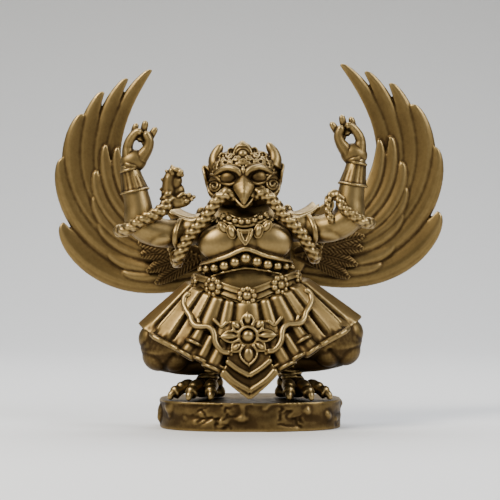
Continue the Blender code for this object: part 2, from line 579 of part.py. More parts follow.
def build_wing(name, side, material):
    unit = FIGURE_HEIGHT / FIGURE_PARTS
    spread_unit = WING_SPAN / SPAN_PARTS
    sole = PLINTH_HEIGHT + JOINT_GAP
    seat = Vector((SEAT_X * side, SEAT_Y, SEAT_Z))
    lean = Matrix.Rotation(-math.radians(LEAN_DEG), 4, "Y")
    clay = bmesh.new()
    wing(clay)
    for vert in clay.verts:
        vert.co.x *= side

    def place(point):
        at = seat * unit + (point - seat) * spread_unit + Vector((WING_SHIFT, 0, 0))
        return lean @ at + Vector((0, 0, sole))

    face = SEAT_Y * unit + JOINT_GAP
    block = cutter(name + "_block", (-WING_SPAN, face - WING_SPAN, -WING_SPAN), (WING_SPAN, face, 2 * WING_SPAN))
    return cast(name, clay, WING_FACES, place, material, (block,))


def build_plinth(material):
    """A low oval slab of rock: flat underside and top, broken sides."""
    count = 56
    levels = ((0.0, 0.975), (0.06, 0.99), (0.25, 0.975), (0.5, 0.96), (0.75, 0.975), (0.93, 1.0), (1.0, 0.985))
    clay = bmesh.new()
    rings = []
    for share, out in levels:
        ring = []
        for k in range(count):
            angle = 2 * math.pi * k / count
            cosine, sine = math.cos(angle), math.sin(angle)
            x = math.copysign(abs(cosine) ** 0.8, cosine) * PLINTH_WIDTH / 2
            y = math.copysign(abs(sine) ** 0.8, sine) * PLINTH_DEPTH / 2
            rough = noise.noise(Vector((6.3 * cosine, 4.2 * sine, 1.9 * share)))
            edge = math.sin(math.pi * share)
            size = out * (1 + 0.035 * rough * (0.25 + edge))
            ring.append((x * size, y * size, share * PLINTH_HEIGHT))
        rings.append(ring)
    close_rings(clay, rings)
    bmesh.ops.recalc_face_normals(clay, faces=clay.faces)
    mesh = bpy.data.meshes.new("plinth")
    clay.to_mesh(mesh)
    clay.free()
    mesh.materials.append(material)
    made = bpy.data.objects.new("plinth", mesh)
    bpy.context.scene.collection.objects.link(made)
    return made


def main():
    clear_scene()
    bronze = finish("antique_bronze", (0.33, 0.22, 0.09), 0.38, 0.9)
    build_plinth(bronze)
    build_figure(bronze)
    build_wing("wing_right", -1, bronze)
    build_wing("wing_left", 1, bronze)


main()
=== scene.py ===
import math
import random

import bmesh
import bpy
import numpy as np
from mathutils import Matrix, Vector, noise


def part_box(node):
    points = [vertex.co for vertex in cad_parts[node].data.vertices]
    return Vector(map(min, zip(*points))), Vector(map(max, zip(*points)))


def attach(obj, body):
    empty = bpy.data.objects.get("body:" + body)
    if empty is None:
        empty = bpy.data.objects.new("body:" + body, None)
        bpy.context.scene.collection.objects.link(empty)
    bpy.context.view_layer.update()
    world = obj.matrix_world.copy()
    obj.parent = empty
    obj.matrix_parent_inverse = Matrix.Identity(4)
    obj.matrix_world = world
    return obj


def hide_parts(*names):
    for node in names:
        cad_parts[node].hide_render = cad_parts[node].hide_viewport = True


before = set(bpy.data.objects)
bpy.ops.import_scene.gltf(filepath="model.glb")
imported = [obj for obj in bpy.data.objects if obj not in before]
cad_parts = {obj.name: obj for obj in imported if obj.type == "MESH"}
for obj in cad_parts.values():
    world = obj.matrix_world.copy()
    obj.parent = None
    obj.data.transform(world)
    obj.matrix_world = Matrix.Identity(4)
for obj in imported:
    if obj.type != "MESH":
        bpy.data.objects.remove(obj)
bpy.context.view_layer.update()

# A small cast garuda statuette in antique brass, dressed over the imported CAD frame.
# Pieces are laid out in millimetres from the soles: x to the viewer's right, y away, z up.
plinthLow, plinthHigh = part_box("plinth")
soleHeight = plinthHigh[2] + 0.0003
bothSides = (-1, 1)

pose = {"leanDeg": 1.7, "wingShift": 1.9, "seatX": 7.5, "seatY": 9.3, "seatZ": 48.0, "seatRadius": 4.2}


# Curves, shells and casting

def smoothLine(points, steps):
    ends = [points[0], *points, points[-1]]
    line = []
    for a, b, c, d in zip(ends, ends[1:], ends[2:], ends[3:]):
        a, b, c, d = Vector(a), Vector(b), Vector(c), Vector(d)
        for step in range(steps):
            t = step / steps
            line.append(0.5 * (2 * b + (c - a) * t + (2 * a - 5 * b + 4 * c - d) * t ** 2
                               + (3 * b - a - 3 * c + d) * t ** 3))
    line.append(Vector(points[-1]))
    return line


def bezier(a, b, c, d, t):
    s = 1 - t
    return a * s ** 3 + b * 3 * s * s * t + c * 3 * s * t * t + d * t ** 3


def spread(values, count):
    found = []
    for i in range(count):
        place = i / max(count - 1, 1) * (len(values) - 1)
        low = min(int(place), len(values) - 2) if len(values) > 1 else 0
        high = min(low + 1, len(values) - 1)
        found.append(values[low] + (values[high] - values[low]) * (place - low))
    return found


def smoothStep(low, high, value):
    t = max(0.0, min(1.0, (value - low) / (high - low)))
    return t * t * (3 - 2 * t)


def closeRings(clay, rings, firstPole=None, lastPole=None):
    rows = [[clay.verts.new(p) for p in ring] for ring in rings]
    count = len(rows[0])
    for low, high in zip(rows, rows[1:]):
        for i in range(count):
            j = (i + 1) % count
            clay.faces.new((low[i], low[j], high[j], high[i]))
    for row, pole, turn in ((rows[0], firstPole, True), (rows[-1], lastPole, False)):
        centre = sum((v.co for v in row), Vector()) / count if pole is None else Vector(pole)
        tip = clay.verts.new(centre)
        for i in range(count):
            j = (i + 1) % count
            clay.faces.new((row[j], row[i], tip) if turn else (row[i], row[j], tip))


def circle(count, closed=False):
    return [2 * math.pi * k / count for k in range(count + closed)]


def mirrored(points, side):
    return [(side * x, y, z) for x, y, z in points]


def bothHalves(points):
    # a line given as far as the middle goes on as its own mirror image
    return [*points, *mirrored(points[-2::-1], -1)]


def tube(clay, line, radii, sides=12, flat=1.0, flutes=0, fluteDepth=0.0, up=(0, 0, 1), dome=0.7):
    radii = spread(radii, len(line))
    rings = []
    across = Vector(up)
    for i, point in enumerate(line):
        along = (line[min(i + 1, len(line) - 1)] - line[max(i - 1, 0)]).normalized()
        across = (across - along * across.dot(along)).normalized()
        other = along.cross(across)
        ring = []
        for a in circle(sides):
            swell = 1 + fluteDepth * abs(math.cos(flutes * a / 2))
            ring.append(point + (across * math.cos(a) * flat + other * math.sin(a)) * radii[i] * swell)
        rings.append(ring)
    closeRings(clay, rings, line[0] + (line[0] - line[1]).normalized() * radii[0] * dome,
               line[-1] + (line[-1] - line[-2]).normalized() * radii[-1] * dome)


def rod(clay, points, radii, sides=12, steps=6, **shape):
    tube(clay, smoothLine(points, steps), radii, sides, **shape)


def hoop(clay, centre, axis, radius, thick, count=28):
    sideways = axis.cross(Vector((0, 1, 0))).normalized()
    front = axis.cross(sideways)
    ring = [centre + (sideways * math.cos(a) + front * math.sin(a)) * radius for a in circle(count, True)]
    tube(clay, ring, [thick], 8)


def ovalRim(centre, tilt, wide, tall, count):
    turned = Matrix.Rotation(math.radians(tilt), 3, "Y")
    return [centre + turned @ Vector((wide * math.sin(a), 0, -tall * math.cos(a)))
            for a in circle(count, True)]


def ball(clay, centre, radii, turn=(0, 0, 0), sides=20, rings=12):
    placed = Matrix.Translation(centre)
    for angle, axis in zip(turn, "XYZ"):
        placed = placed @ Matrix.Rotation(math.radians(angle), 4, axis)
    loops = []
    for r in range(1, rings):
        tilt = math.pi * r / rings
        loops.append([placed @ Vector((radii[0] * math.sin(tilt) * math.cos(a),
                                       radii[1] * math.sin(tilt) * math.sin(a),
                                       -radii[2] * math.cos(tilt))) for a in circle(sides)])
    closeRings(clay, loops, placed @ Vector((0, 0, -radii[2])), placed @ Vector((0, 0, radii[2])))


def lumps(clay, side, rows):
    # each row is a ball's middle, its radii and its tilt, with its facets where they matter
    for (x, y, z), radii, tilt, *facets in rows:
        ball(clay, (side * x, y, z), radii, (0, side * tilt, 0), *facets)


def seatDisc(clay, side, front, back):
    # the flat round seat where a wing is held on the back
    radius = pose["seatRadius"]
    closeRings(clay, [[(side * pose["seatX"] + radius * math.cos(a), y,
                        pose["seatZ"] + radius * math.sin(a))
                       for a in circle(32)] for y in (front, back)])


def slab(clay, grid, thickness):
    rows, columns = len(grid), len(grid[0])
    top, under = [], []
    for i in range(rows):
        for j in range(columns):
            down = grid[min(i + 1, rows - 1)][j] - grid[max(i - 1, 0)][j]
            side = grid[i][min(j + 1, columns - 1)] - grid[i][max(j - 1, 0)]
            normal = side.cross(down).normalized() * thickness / 2
            top.append(clay.verts.new(grid[i][j] + normal))
            under.append(clay.verts.new(grid[i][j] - normal))
    for i in range(rows - 1):
        for j in range(columns - 1):
            a, d = i * columns + j, (i + 1) * columns + j
            clay.faces.new((top[d], top[d + 1], top[a + 1], top[a]))
            clay.faces.new((under[a], under[a + 1], under[d + 1], under[d]))
    border = [(0, j) for j in range(columns)] + [(i, columns - 1) for i in range(1, rows)]
    border += [(rows - 1, j) for j in range(columns - 2, -1, -1)] + [(i, 0) for i in range(rows - 2, 0, -1)]
    for (i, j), (k, m) in zip(border, border[1:] + border[:1]):
        a, b = i * columns + j, k * columns + m
        clay.faces.new((top[a], top[b], under[b], under[a]))


def meshArrays(mesh):
    points = np.empty(len(mesh.vertices) * 3)
    mesh.vertices.foreach_get("co", points)
    edges = np.empty(len(mesh.edges) * 2, dtype=np.int64)
    mesh.edges.foreach_get("vertices", edges)
    return points.reshape(-1, 3), edges.reshape(-1, 2)


def neighbourMean(values, edges, share):
    total = np.empty_like(values)
    for axis in range(values.shape[1]):
        total[:, axis] = (np.bincount(edges[:, 0], values[edges[:, 1], axis], len(values))
                          + np.bincount(edges[:, 1], values[edges[:, 0], axis], len(values)))
    return total * share


def edgeShare(points, edges):
    return (1 / np.maximum(np.bincount(edges.ravel(), minlength=len(points)), 1))[:, None]


def evaluated(thing):
    return bpy.data.meshes.new_from_object(thing.evaluated_get(bpy.context.evaluated_depsgraph_get()))


def stand(name, data):
    made = bpy.data.objects.new(name, data)
    bpy.context.scene.collection.objects.link(made)
    return made


def castPiece(name, clay, look, lean=True):
    # fuses the overlapping shells into one skin, as wax is before a casting, and rubs it smooth;
    # grain is how fine the skin is, and polish how many times it is rubbed
    bmesh.ops.recalc_face_normals(clay, faces=clay.faces)
    shells = bpy.data.meshes.new(name)
    clay.to_mesh(shells)
    clay.free()
    rough = stand(name, shells)
    fuse = rough.modifiers.new("fuse", "REMESH")
    fuse.mode = "VOXEL"
    fuse.voxel_size = look["grain"]
    mesh = evaluated(rough)
    bpy.data.objects.remove(rough)
    bpy.data.meshes.remove(shells)
    points, edges = meshArrays(mesh)
    share = edgeShare(points, edges)
    for step in range(look["polish"]):
        for press in (0.6, -0.62):
            points = points + press * (neighbourMean(points, edges, share) - points)
    return settle(name, mesh, points, lean)


def settle(name, mesh, points, lean):
    # real size, leaned and stood on the plinth
    if lean:
        angle = -math.radians(pose["leanDeg"])
        x = points[:, 0] * math.cos(angle) + points[:, 2] * math.sin(angle)
        z = points[:, 2] * math.cos(angle) - points[:, 0] * math.sin(angle)
        points = np.column_stack((x, points[:, 1], z))
    points = points * 0.001 + np.array((0, 0, soleHeight))
    mesh.vertices.foreach_set("co", points.ravel())
    mesh.polygons.foreach_set("use_smooth", np.ones(len(mesh.polygons), dtype=bool))
    mesh.update()
    mesh.name = name
    print("made", name, len(mesh.polygons), "faces")
    return stand(name, mesh)


# Geometry Nodes for what repeats

def addNode(tree, kind, settings=None):
    # a node or socket is linked in, and anything else is set
    made = tree.nodes.new(kind)
    for key, value in (settings or {}).items():
        if isinstance(value, bpy.types.Node):
            value = value.outputs[0]
        if isinstance(value, bpy.types.NodeSocket):
            tree.links.new(value, made.inputs[key])
        elif isinstance(key, int) or key in made.inputs:
            made.inputs[key].default_value = value
        else:
            setattr(made, key, value)
    return made


def newTree(name, sizes):
    tree = bpy.data.node_groups.new(name, "GeometryNodeTree")
    tree.interface.new_socket(name="Geometry", in_out="INPUT", socket_type="NodeSocketGeometry")
    for label, value in sizes.items():
        kind = "NodeSocketInt" if isinstance(value, int) else "NodeSocketFloat"
        tree.interface.new_socket(name=label, in_out="INPUT", socket_type=kind)
    tree.interface.new_socket(name="Metal", in_out="INPUT", socket_type="NodeSocketMaterial")
    tree.interface.new_socket(name="Geometry", in_out="OUTPUT", socket_type="NodeSocketGeometry")
    return tree, tree.nodes.new("NodeGroupInput"), tree.nodes.new("NodeGroupOutput")


def closeTree(tree, given, out, geometry):
    whole = addNode(tree, "GeometryNodeRealizeInstances", {"Geometry": geometry})
    paint = addNode(tree, "GeometryNodeSetMaterial", {
        "Geometry": whole, "Material": given.outputs["Metal"]})
    tree.links.new(paint.outputs[0], out.inputs[0])
    return tree


def runTree(tree, base, sizes):
    host = stand(tree.name, base)
    grow = host.modifiers.new("grow", "NODES")
    grow.node_group = tree
    given = {**sizes, "Metal": brass}
    for item in tree.interface.items_tree:
        if item.in_out == "INPUT" and item.name in given:
            grow[item.identifier] = given[item.name]
    mesh = evaluated(host)
    bpy.data.objects.remove(host)
    return mesh


def pathMesh(line):
    mesh = bpy.data.meshes.new("path")
    mesh.from_pydata([tuple(p) for p in line], [(i, i + 1) for i in range(len(line) - 1)], [])
    return mesh


def beadTree():
    tree, given, out = newTree("beadString", {"Bead Count": 10, "Bead Radius": 1.0})
    path = addNode(tree, "GeometryNodeMeshToCurve", {"Mesh": given.outputs["Geometry"]})
    places = addNode(tree, "GeometryNodeResampleCurve", {
        "mode": "COUNT", "Curve": path, "Count": given.outputs["Bead Count"]})
    bead = addNode(tree, "GeometryNodeMeshIcoSphere", {
        "Subdivisions": 2, "Radius": given.outputs["Bead Radius"]})
    strung = addNode(tree, "GeometryNodeInstanceOnPoints", {"Points": places, "Instance": bead})
    return closeTree(tree, given, out, strung)


def ropeTree():
    # a scaly body: a round section swept along a path, raised into two crossing sets of turns
    tree, given, out = newTree("serpentBody", {"Strands": 3, "Twist": 1.0, "Depth": 0.3})
    path = addNode(tree, "GeometryNodeMeshToCurve", {"Mesh": given.outputs["Geometry"]})
    walked = addNode(tree, "GeometryNodeSplineParameter")
    marked = addNode(tree, "GeometryNodeStoreNamedAttribute", {
        "data_type": "FLOAT", "Name": "alongBody", "Geometry": path, "Value": walked.outputs["Length"]})
    girth = addNode(tree, "GeometryNodeInputNamedAttribute", {"data_type": "FLOAT", "Name": "girth"})
    ring = addNode(tree, "GeometryNodeCurvePrimitiveCircle", {"Resolution": 24, "Radius": 1.0})
    turned = addNode(tree, "GeometryNodeSplineParameter")
    ringMarked = addNode(tree, "GeometryNodeStoreNamedAttribute", {
        "data_type": "FLOAT", "Name": "aroundBody", "Geometry": ring, "Value": turned.outputs["Factor"]})
    skin = addNode(tree, "GeometryNodeCurveToMesh", {
        "Fill Caps": True, "Curve": marked, "Profile Curve": ringMarked, "Scale": girth})
    along = addNode(tree, "GeometryNodeInputNamedAttribute", {"data_type": "FLOAT", "Name": "alongBody"})
    around = addNode(tree, "GeometryNodeInputNamedAttribute", {"data_type": "FLOAT", "Name": "aroundBody"})
    wholeTurn = addNode(tree, "ShaderNodeMath", {"operation": "MULTIPLY", 0: around, 1: 2 * math.pi})
    strands = addNode(tree, "ShaderNodeMath", {
        "operation": "MULTIPLY", 0: wholeTurn, 1: given.outputs["Strands"]})
    wound = addNode(tree, "ShaderNodeMath", {"operation": "MULTIPLY", 0: along, 1: given.outputs["Twist"]})
    halves = []
    for operation in ("ADD", "SUBTRACT"):
        phase = addNode(tree, "ShaderNodeMath", {"operation": operation, 0: strands, 1: wound})
        halved = addNode(tree, "ShaderNodeMath", {"operation": "MULTIPLY", 0: phase, 1: 0.5})
        wave = addNode(tree, "ShaderNodeMath", {"operation": "COSINE", 0: halved})
        halves.append(addNode(tree, "ShaderNodeMath", {"operation": "ABSOLUTE", 0: wave}))
    both = addNode(tree, "ShaderNodeMath", {
        "operation": "MULTIPLY_ADD", 0: halves[1], 1: 0.6, 2: halves[0]})
    raised = addNode(tree, "ShaderNodeMath", {"operation": "MULTIPLY", 0: both, 1: given.outputs["Depth"]})
    outward = addNode(tree, "GeometryNodeInputNormal")
    shift = addNode(tree, "ShaderNodeVectorMath", {"operation": "SCALE", 0: outward, "Scale": raised})
    carved = addNode(tree, "GeometryNodeSetPosition", {"Geometry": skin, "Offset": shift})
    return closeTree(tree, given, out, carved)


def barbTree():
    # thin barbs set along a quill at a slant, longest in the middle
    tree, given, out = newTree("featherBarbs", {"Barb Count": 14, "Barb Length": 2.0, "Barb Radius": 0.2,
                                                "Slant": 0.8})
    path = addNode(tree, "GeometryNodeMeshToCurve", {"Mesh": given.outputs["Geometry"]})
    places = addNode(tree, "GeometryNodeResampleCurve", {
        "mode": "COUNT", "Curve": path, "Count": given.outputs["Barb Count"]})
    factor = addNode(tree, "GeometryNodeSplineParameter")
    arch = addNode(tree, "ShaderNodeMath", {
        "operation": "MULTIPLY", 0: factor.outputs["Factor"], 1: math.pi * 0.92})
    bow = addNode(tree, "ShaderNodeMath", {"operation": "SINE", 0: arch})
    grown = addNode(tree, "ShaderNodeMath", {"operation": "ADD", 0: bow, 1: 0.25})
    reach = addNode(tree, "ShaderNodeMath", {
        "operation": "MULTIPLY", 0: grown, 1: given.outputs["Barb Length"]})
    thick = addNode(tree, "ShaderNodeCombineXYZ", {
        0: given.outputs["Barb Radius"], 1: given.outputs["Barb Radius"], 2: reach})
    bead = addNode(tree, "GeometryNodeMeshIcoSphere", {"Subdivisions": 2, "Radius": 1.0})
    tangent = addNode(tree, "GeometryNodeInputTangent")
    joined = []
    for side in bothSides:
        slant = addNode(tree, "ShaderNodeMath", {
            "operation": "MULTIPLY", 0: given.outputs["Slant"], 1: side})
        leaned = addNode(tree, "ShaderNodeVectorRotate", {
            "rotation_type": "Y_AXIS", "Vector": tangent, "Angle": slant})
        aim = addNode(tree, "FunctionNodeAlignRotationToVector", {"axis": "Z", "Vector": leaned})
        # the barb's middle is half its length out from the quill
        half = addNode(tree, "ShaderNodeVectorMath", {"operation": "SCALE", 0: leaned, "Scale": reach})
        moved = addNode(tree, "GeometryNodeSetPosition", {"Geometry": places, "Offset": half})
        held = addNode(tree, "GeometryNodeInstanceOnPoints", {
            "Points": moved, "Instance": bead, "Rotation": aim, "Scale": thick})
        joined.append(held)
    both = addNode(tree, "GeometryNodeJoinGeometry")
    for source in joined:
        tree.links.new(source.outputs[0], both.inputs[0])
    return closeTree(tree, given, out, both)


def rosetteTree():
    # a boss in a ring of beads, laid in the x-z plane
    tree, given, out = newTree("rosette", {"Petals": 9, "Ring Radius": 2.4, "Bead Radius": 0.8,
                                           "Boss Radius": 1.35})
    ring = addNode(tree, "GeometryNodeMeshCircle", {
        "Vertices": given.outputs["Petals"], "Radius": given.outputs["Ring Radius"]})
    upright = addNode(tree, "GeometryNodeTransform", {"Rotation": (math.pi / 2, 0, 0), "Geometry": ring})
    bead = addNode(tree, "GeometryNodeMeshIcoSphere", {
        "Subdivisions": 2, "Radius": given.outputs["Bead Radius"]})
    beads = addNode(tree, "GeometryNodeInstanceOnPoints", {"Points": upright, "Instance": bead})
    boss = addNode(tree, "GeometryNodeMeshIcoSphere", {
        "Subdivisions": 3, "Radius": given.outputs["Boss Radius"]})
    whole = addNode(tree, "GeometryNodeJoinGeometry")
    for source in (beads, boss):
        tree.links.new(source.outputs[0], whole.inputs[0])
    return closeTree(tree, given, out, whole)


def addMesh(clay, mesh):
    clay.from_mesh(mesh)
    bpy.data.meshes.remove(mesh)


def addBeads(clay, points, count, radius):
    sizes = {"Bead Count": count, "Bead Radius": radius}
    addMesh(clay, runTree(beads, pathMesh(smoothLine(points, 6)), sizes))


# Metal

def linear(code):
    parts = [int(code[i:i + 2], 16) / 255 for i in (1, 3, 5)]
    return (*[p / 12.92 if p <= 0.04045 else ((p + 0.055) / 1.055) ** 2.4 for p in parts], 1)


metalLook = {
    # the brightest stop colours rubbed brass and painted light, the darkest ones the patina of the hollows
    # and painted shade
    "rubbedAndLit": "#a28a5b", "body": "#76613a", "shade": "#45351f", "recess": "#241a0c",
    "roughHigh": 0.39, "roughLow": 0.6, "cloudMm": 7.0,
    # the sand grain of a casting, drawn four times as coarse so that it shows
    "grainMm": 0.22, "coarser": 4}


def antiqueBrass(name, look):
    # Cast brass, matt gilded, with brown patina left in the hollows and rubbed bright on what stands out;
    # the ramp also paints shade where parts crowd together, low down and under the skirt, and painted light
    # on faces turned up
    made = bpy.data.materials.new(name)
    made.use_nodes = True
    tree = made.node_tree
    shader = tree.nodes["Principled BSDF"]
    shader.inputs["Metallic"].default_value = 1.0
    where = addNode(tree, "ShaderNodeTexCoord")
    # this attribute carries patina, rubbed edges, painted shade and painted light
    wearAndPaintedLight = addNode(tree, "ShaderNodeAttribute", {"attribute_name": "wearAndPaintedLight"})
    cloud = addNode(tree, "ShaderNodeTexNoise", {
        "Scale": 1000 / look["cloudMm"], "Detail": 4.0, "Roughness": 0.6,
        "Vector": where.outputs["Object"]})
    grain = addNode(tree, "ShaderNodeTexNoise", {
        "Scale": 1000 / look["grainMm"] / look["coarser"], "Detail": 3.0, "Roughness": 0.6,
        "Vector": where.outputs["Object"]})
    drift = addNode(tree, "ShaderNodeMath", {
        "operation": "MULTIPLY_ADD", 0: cloud.outputs["Fac"], 1: 0.16, 2: -0.08})
    speck = addNode(tree, "ShaderNodeMath", {
        "operation": "MULTIPLY_ADD", 0: grain.outputs["Fac"], 1: 0.14, 2: -0.07})
    first = addNode(tree, "ShaderNodeMath", {"operation": "ADD", 0: wearAndPaintedLight.outputs["Fac"], 1: drift})
    both = addNode(tree, "ShaderNodeMath", {"operation": "ADD", "use_clamp": True, 0: first, 1: speck})
    ramp = addNode(tree, "ShaderNodeValToRGB", {"Fac": both})
    stops = ((0.0, "recess"), (0.3, "shade"), (0.55, "body"), (0.9, "rubbedAndLit"))
    while len(ramp.color_ramp.elements) < len(stops):
        ramp.color_ramp.elements.new(0.5)
    for stop, (place, tone) in zip(ramp.color_ramp.elements, stops):
        stop.position = place
        stop.color = linear(look[tone])
    rough = addNode(tree, "ShaderNodeMapRange", {
        "From Min": 0.1, "From Max": 0.8, "To Min": look["roughLow"], "To Max": look["roughHigh"],
        "Value": both})
    bump = addNode(tree, "ShaderNodeBump", {
        "Strength": 0.25, "Distance": 0.00006, "Height": grain.outputs["Fac"]})
    tree.links.new(ramp.outputs["Color"], shader.inputs["Base Color"])
    tree.links.new(rough.outputs["Result"], shader.inputs["Roughness"])
    tree.links.new(bump.outputs["Normal"], shader.inputs["Normal"])
    return made


brass = antiqueBrass("castAntiqueBrass", metalLook)
beads, rope, barbs, rosette = beadTree(), ropeTree(), barbTree(), rosetteTree()
print("metal and node trees ready")


# Torso, arms and legs

body = {
    "grain": 0.36, "polish": 8, "sway": 0.9,
    # height, half width, front and back of each level of the trunk
    "levels": ((33, 14.6, -11.6, 7.4), (38, 13.6, -11.4, 7.4), (41, 13.6, -11.0, 7.4),
               (42.8, 14.4, -11.9, 7.4), (45.4, 14.6, -12.7, 7.6), (50, 14.6, -13.0, 7.8),
               (54, 15.2, -12.6, 7.8), (57.5, 15.6, -10.4, 7.4), (60.5, 11.5, -8.0, 6.6),
               (63, 7.5, -6.0, 5.2)),
    "breast": (((6.9, -9.2, 50.8), (8.3, 5.0, 6.2), 8, 36, 20),),
    "arm": ((14, -1, 55.5), (19, -3, 54.6), (25, -4.6, 54.0), (31, -5.5, 55.6), (33.8, -5.5, 58.6),
            (34.3, -5.5, 63.4), (35.3, -5.5, 69.0), (36.9, -5.5, 76.5)),
    "armRadii": (5.0, 4.9, 4.6, 4.9, 5.1, 4.5, 4.0, 2.8),
    "muscles": (((17.5, -3.0, 55.0), (5.6, 5.4, 4.8), 0), ((27.0, -6.4, 52.9), (5.0, 3.4, 3.2), 4)),
    "leg": ((8, 0, 24), (18, -3, 21), (27.3, -5.0, 18.0), (24.0, -3.4, 14.6), (16.5, -1.0, 12.0),
            (13.4, -0.5, 10.5)),
    "legRadii": (9.0, 9.0, 8.8, 6.4, 4.6, 3.6),
    "kneeLumps": ((31.4, -5.6, 20.2, 5.0), (30.0, -6.6, 15.0, 5.3), (25.0, -7.0, 14.8, 5.3),
                  (27.0, -7.6, 18.6, 5.6)),
    "swag": ((14.8, -4.4, 43.8), (13.2, -9.4, 44.2), (9.6, -12.8, 45.1), (6.0, -13.8, 46.1),
             (2.7, -14.2, 47.5), (0, -14.5, 48.3)),
    "fold": ((11.5, -9.6, 39.6), (8, -11.2, 40.8), (4, -12.0, 41.7), (0, -12.2, 42.2))}


def makeBody():
    clay = bmesh.new()
    trunk = []
    for z, half, front, back in body["levels"]:
        middle, depth = (front + back) / 2, (back - front) / 2
        trunk.append([(half * math.sin(a), middle - depth * math.cos(a), z) for a in circle(56)])
    closeRings(clay, trunk)
    ball(clay, (0, -9.2, 50.4), (9.4, 4.9, 5.6), sides=36, rings=20)
    for side in bothSides:
        lumps(clay, side, body["breast"])
        ball(clay, (side * pose["seatX"], 6.5, pose["seatZ"]), (6.0, 2.5, 6.0))
        seatDisc(clay, side, pose["seatY"] - 0.1, 3.0)
        rod(clay, mirrored(body["arm"], side), body["armRadii"], 24)
        lumps(clay, side, body["muscles"])
        leg = [(side * x + body["sway"] * min(1.0, x / 24), y, z) for x, y, z in body["leg"]]
        rod(clay, leg, body["legRadii"], 32)
        # the knee, with the soft lumps of the cloth over it
        ball(clay, (side * 30.0 + body["sway"], -5.0, 17.0), (5.6, 7.0, 7.0), (0, side * 20, 0), 32, 18)
        for x, y, z, size in body["kneeLumps"]:
            ball(clay, (side * x + body["sway"], y, z), (size, size, size), sides=24, rings=14)
    # the swag under the breasts, and the fold over the belly
    rod(clay, bothHalves(body["swag"]), [0.5, 0.7, 0.8, 0.85, 0.8, 0.7, 0.5], 12)
    rod(clay, bothHalves(body["fold"]), [0.45], 10)
    return castPiece("bodyCast", clay, body)


# Raised hands, bands and cuffs

hands = {
    "grain": 0.21, "polish": 5, "palm": (34.7, -5.6, 77.7), "flutes": 14, "inward": 0.09, "outward": 1.2,
    # each digit's course and thickness; the first two close the ring
    "digits": ((((36.4, -5.6, 78.6), (37.1, -5.8, 82.2), (36.5, -6.2, 85.0), (35.0, -6.7, 86.9),
                 (33.6, -7.1, 87.0)), (2.5, 1.7, 1.5, 1.3, 1.1)),
               (((32.6, -5.8, 78.6), (30.6, -6.4, 81.6), (30.5, -6.8, 84.2), (31.9, -7.2, 86.6)),
                (2.5, 1.8, 1.55, 1.2)),
               (((35.9, -5.5, 84.8), (35.8, -5.8, 87.4), (35.2, -6.2, 89.5)),
                (1.5, 1.2, 1.1, 1.1, 0.85)),
               (((33.6, -5.3, 84.6), (32.8, -5.5, 87.6), (32.3, -6.0, 90.2)),
                (1.6, 1.25, 1.15, 1.15, 0.9)),
               (((31.4, -5.2, 82.8), (30.2, -5.4, 85.6), (28.9, -6.0, 88.0)),
                (1.8, 1.35, 1.2, 1.15, 0.9))),
    "cuff": ((35.2, -5.5, 68.0), (35.5, -5.5, 69.6), (36.2, -5.5, 72.6), (36.8, -5.5, 75.4)),
    "armBand": ((20.6, -6.6, 58.4), (21.6, -8.6, 56.6), (22.4, -9.8, 54.0), (22.5, -9.2, 51.2),
                (21.9, -6.4, 49.3), (21.4, -3, 48.9))}


def makeHands():
    clay = bmesh.new()
    for side in bothSides:
        # the palms are turned out, and one hand's fingers lean in
        inward = hands["inward"] if side < 0 else 0.0
        outward = hands["outward"] if side > 0 else hands["outward"] / 2
        x, y, z = hands["palm"]
        ball(clay, (side * (x + outward), y, z), (4.4, 3.0, 3.7), (0, side * 14, 0), 32, 18)
        rod(clay, mirrored(((36.8, -5.5, 73.8), (36.0, -5.6, 76.6)), side), [2.9, 3.2], 24)
        for points, radii in hands["digits"]:
            line = []
            for x, y, z in points:
                turned = side * (x + outward * (1 - smoothStep(80.0, 88.0, z)))
                line.append((turned + inward * max(0.0, z - 76.0), y, z))
            rod(clay, line, radii, 14)
        # the cuff, pleated and flared towards the elbow, with a rim at each end
        cuff = smoothLine(mirrored(hands["cuff"], side), 4)
        tube(clay, cuff, [4.5, 4.2, 3.75, 3.3, 3.0], 84, flutes=hands["flutes"], fluteDepth=0.035)
        for start, radius in ((0, 4.55), (11, 3.1)):
            hoop(clay, cuff[start], (cuff[start + 1] - cuff[start]).normalized(), radius, 0.42, 36)
        rod(clay, mirrored(hands["armBand"], side), [0.75], 10, flat=1.3, up=(1, 0, 0))
    return castPiece("handsCast", clay, hands)


# Feet

feet = {
    "grain": 0.23, "polish": 3, "floor": -0.15,
    "shank": ((12.8, -0.5, 12.6), (13.2, -1.1, 8.4), (14.6, -2.2, 4.4)),
    "toes": (((16.4, -3.6, 3.6), (20.4, -6.8, 4.0), (24.2, -9.4, 2.0)),
             ((15.2, -5.0, 3.8), (17.2, -10.0, 4.2), (18.8, -13.6, 2.2)),
             ((13.0, -5.0, 3.8), (12.4, -10.4, 4.4), (12.4, -14.2, 2.4)),
             ((14.2, 0.0, 3.0), (13.8, 5.0, 3.0), (13.6, 8.2, 1.8))),
    # height, distance out and size of each lump of the rough stump behind each foot
    "stump": ((1.5, 10.6, 2.6), (4.5, 10.9, 2.2), (7.5, 11.2, 2.3), (10.5, 11.6, 2.8))}


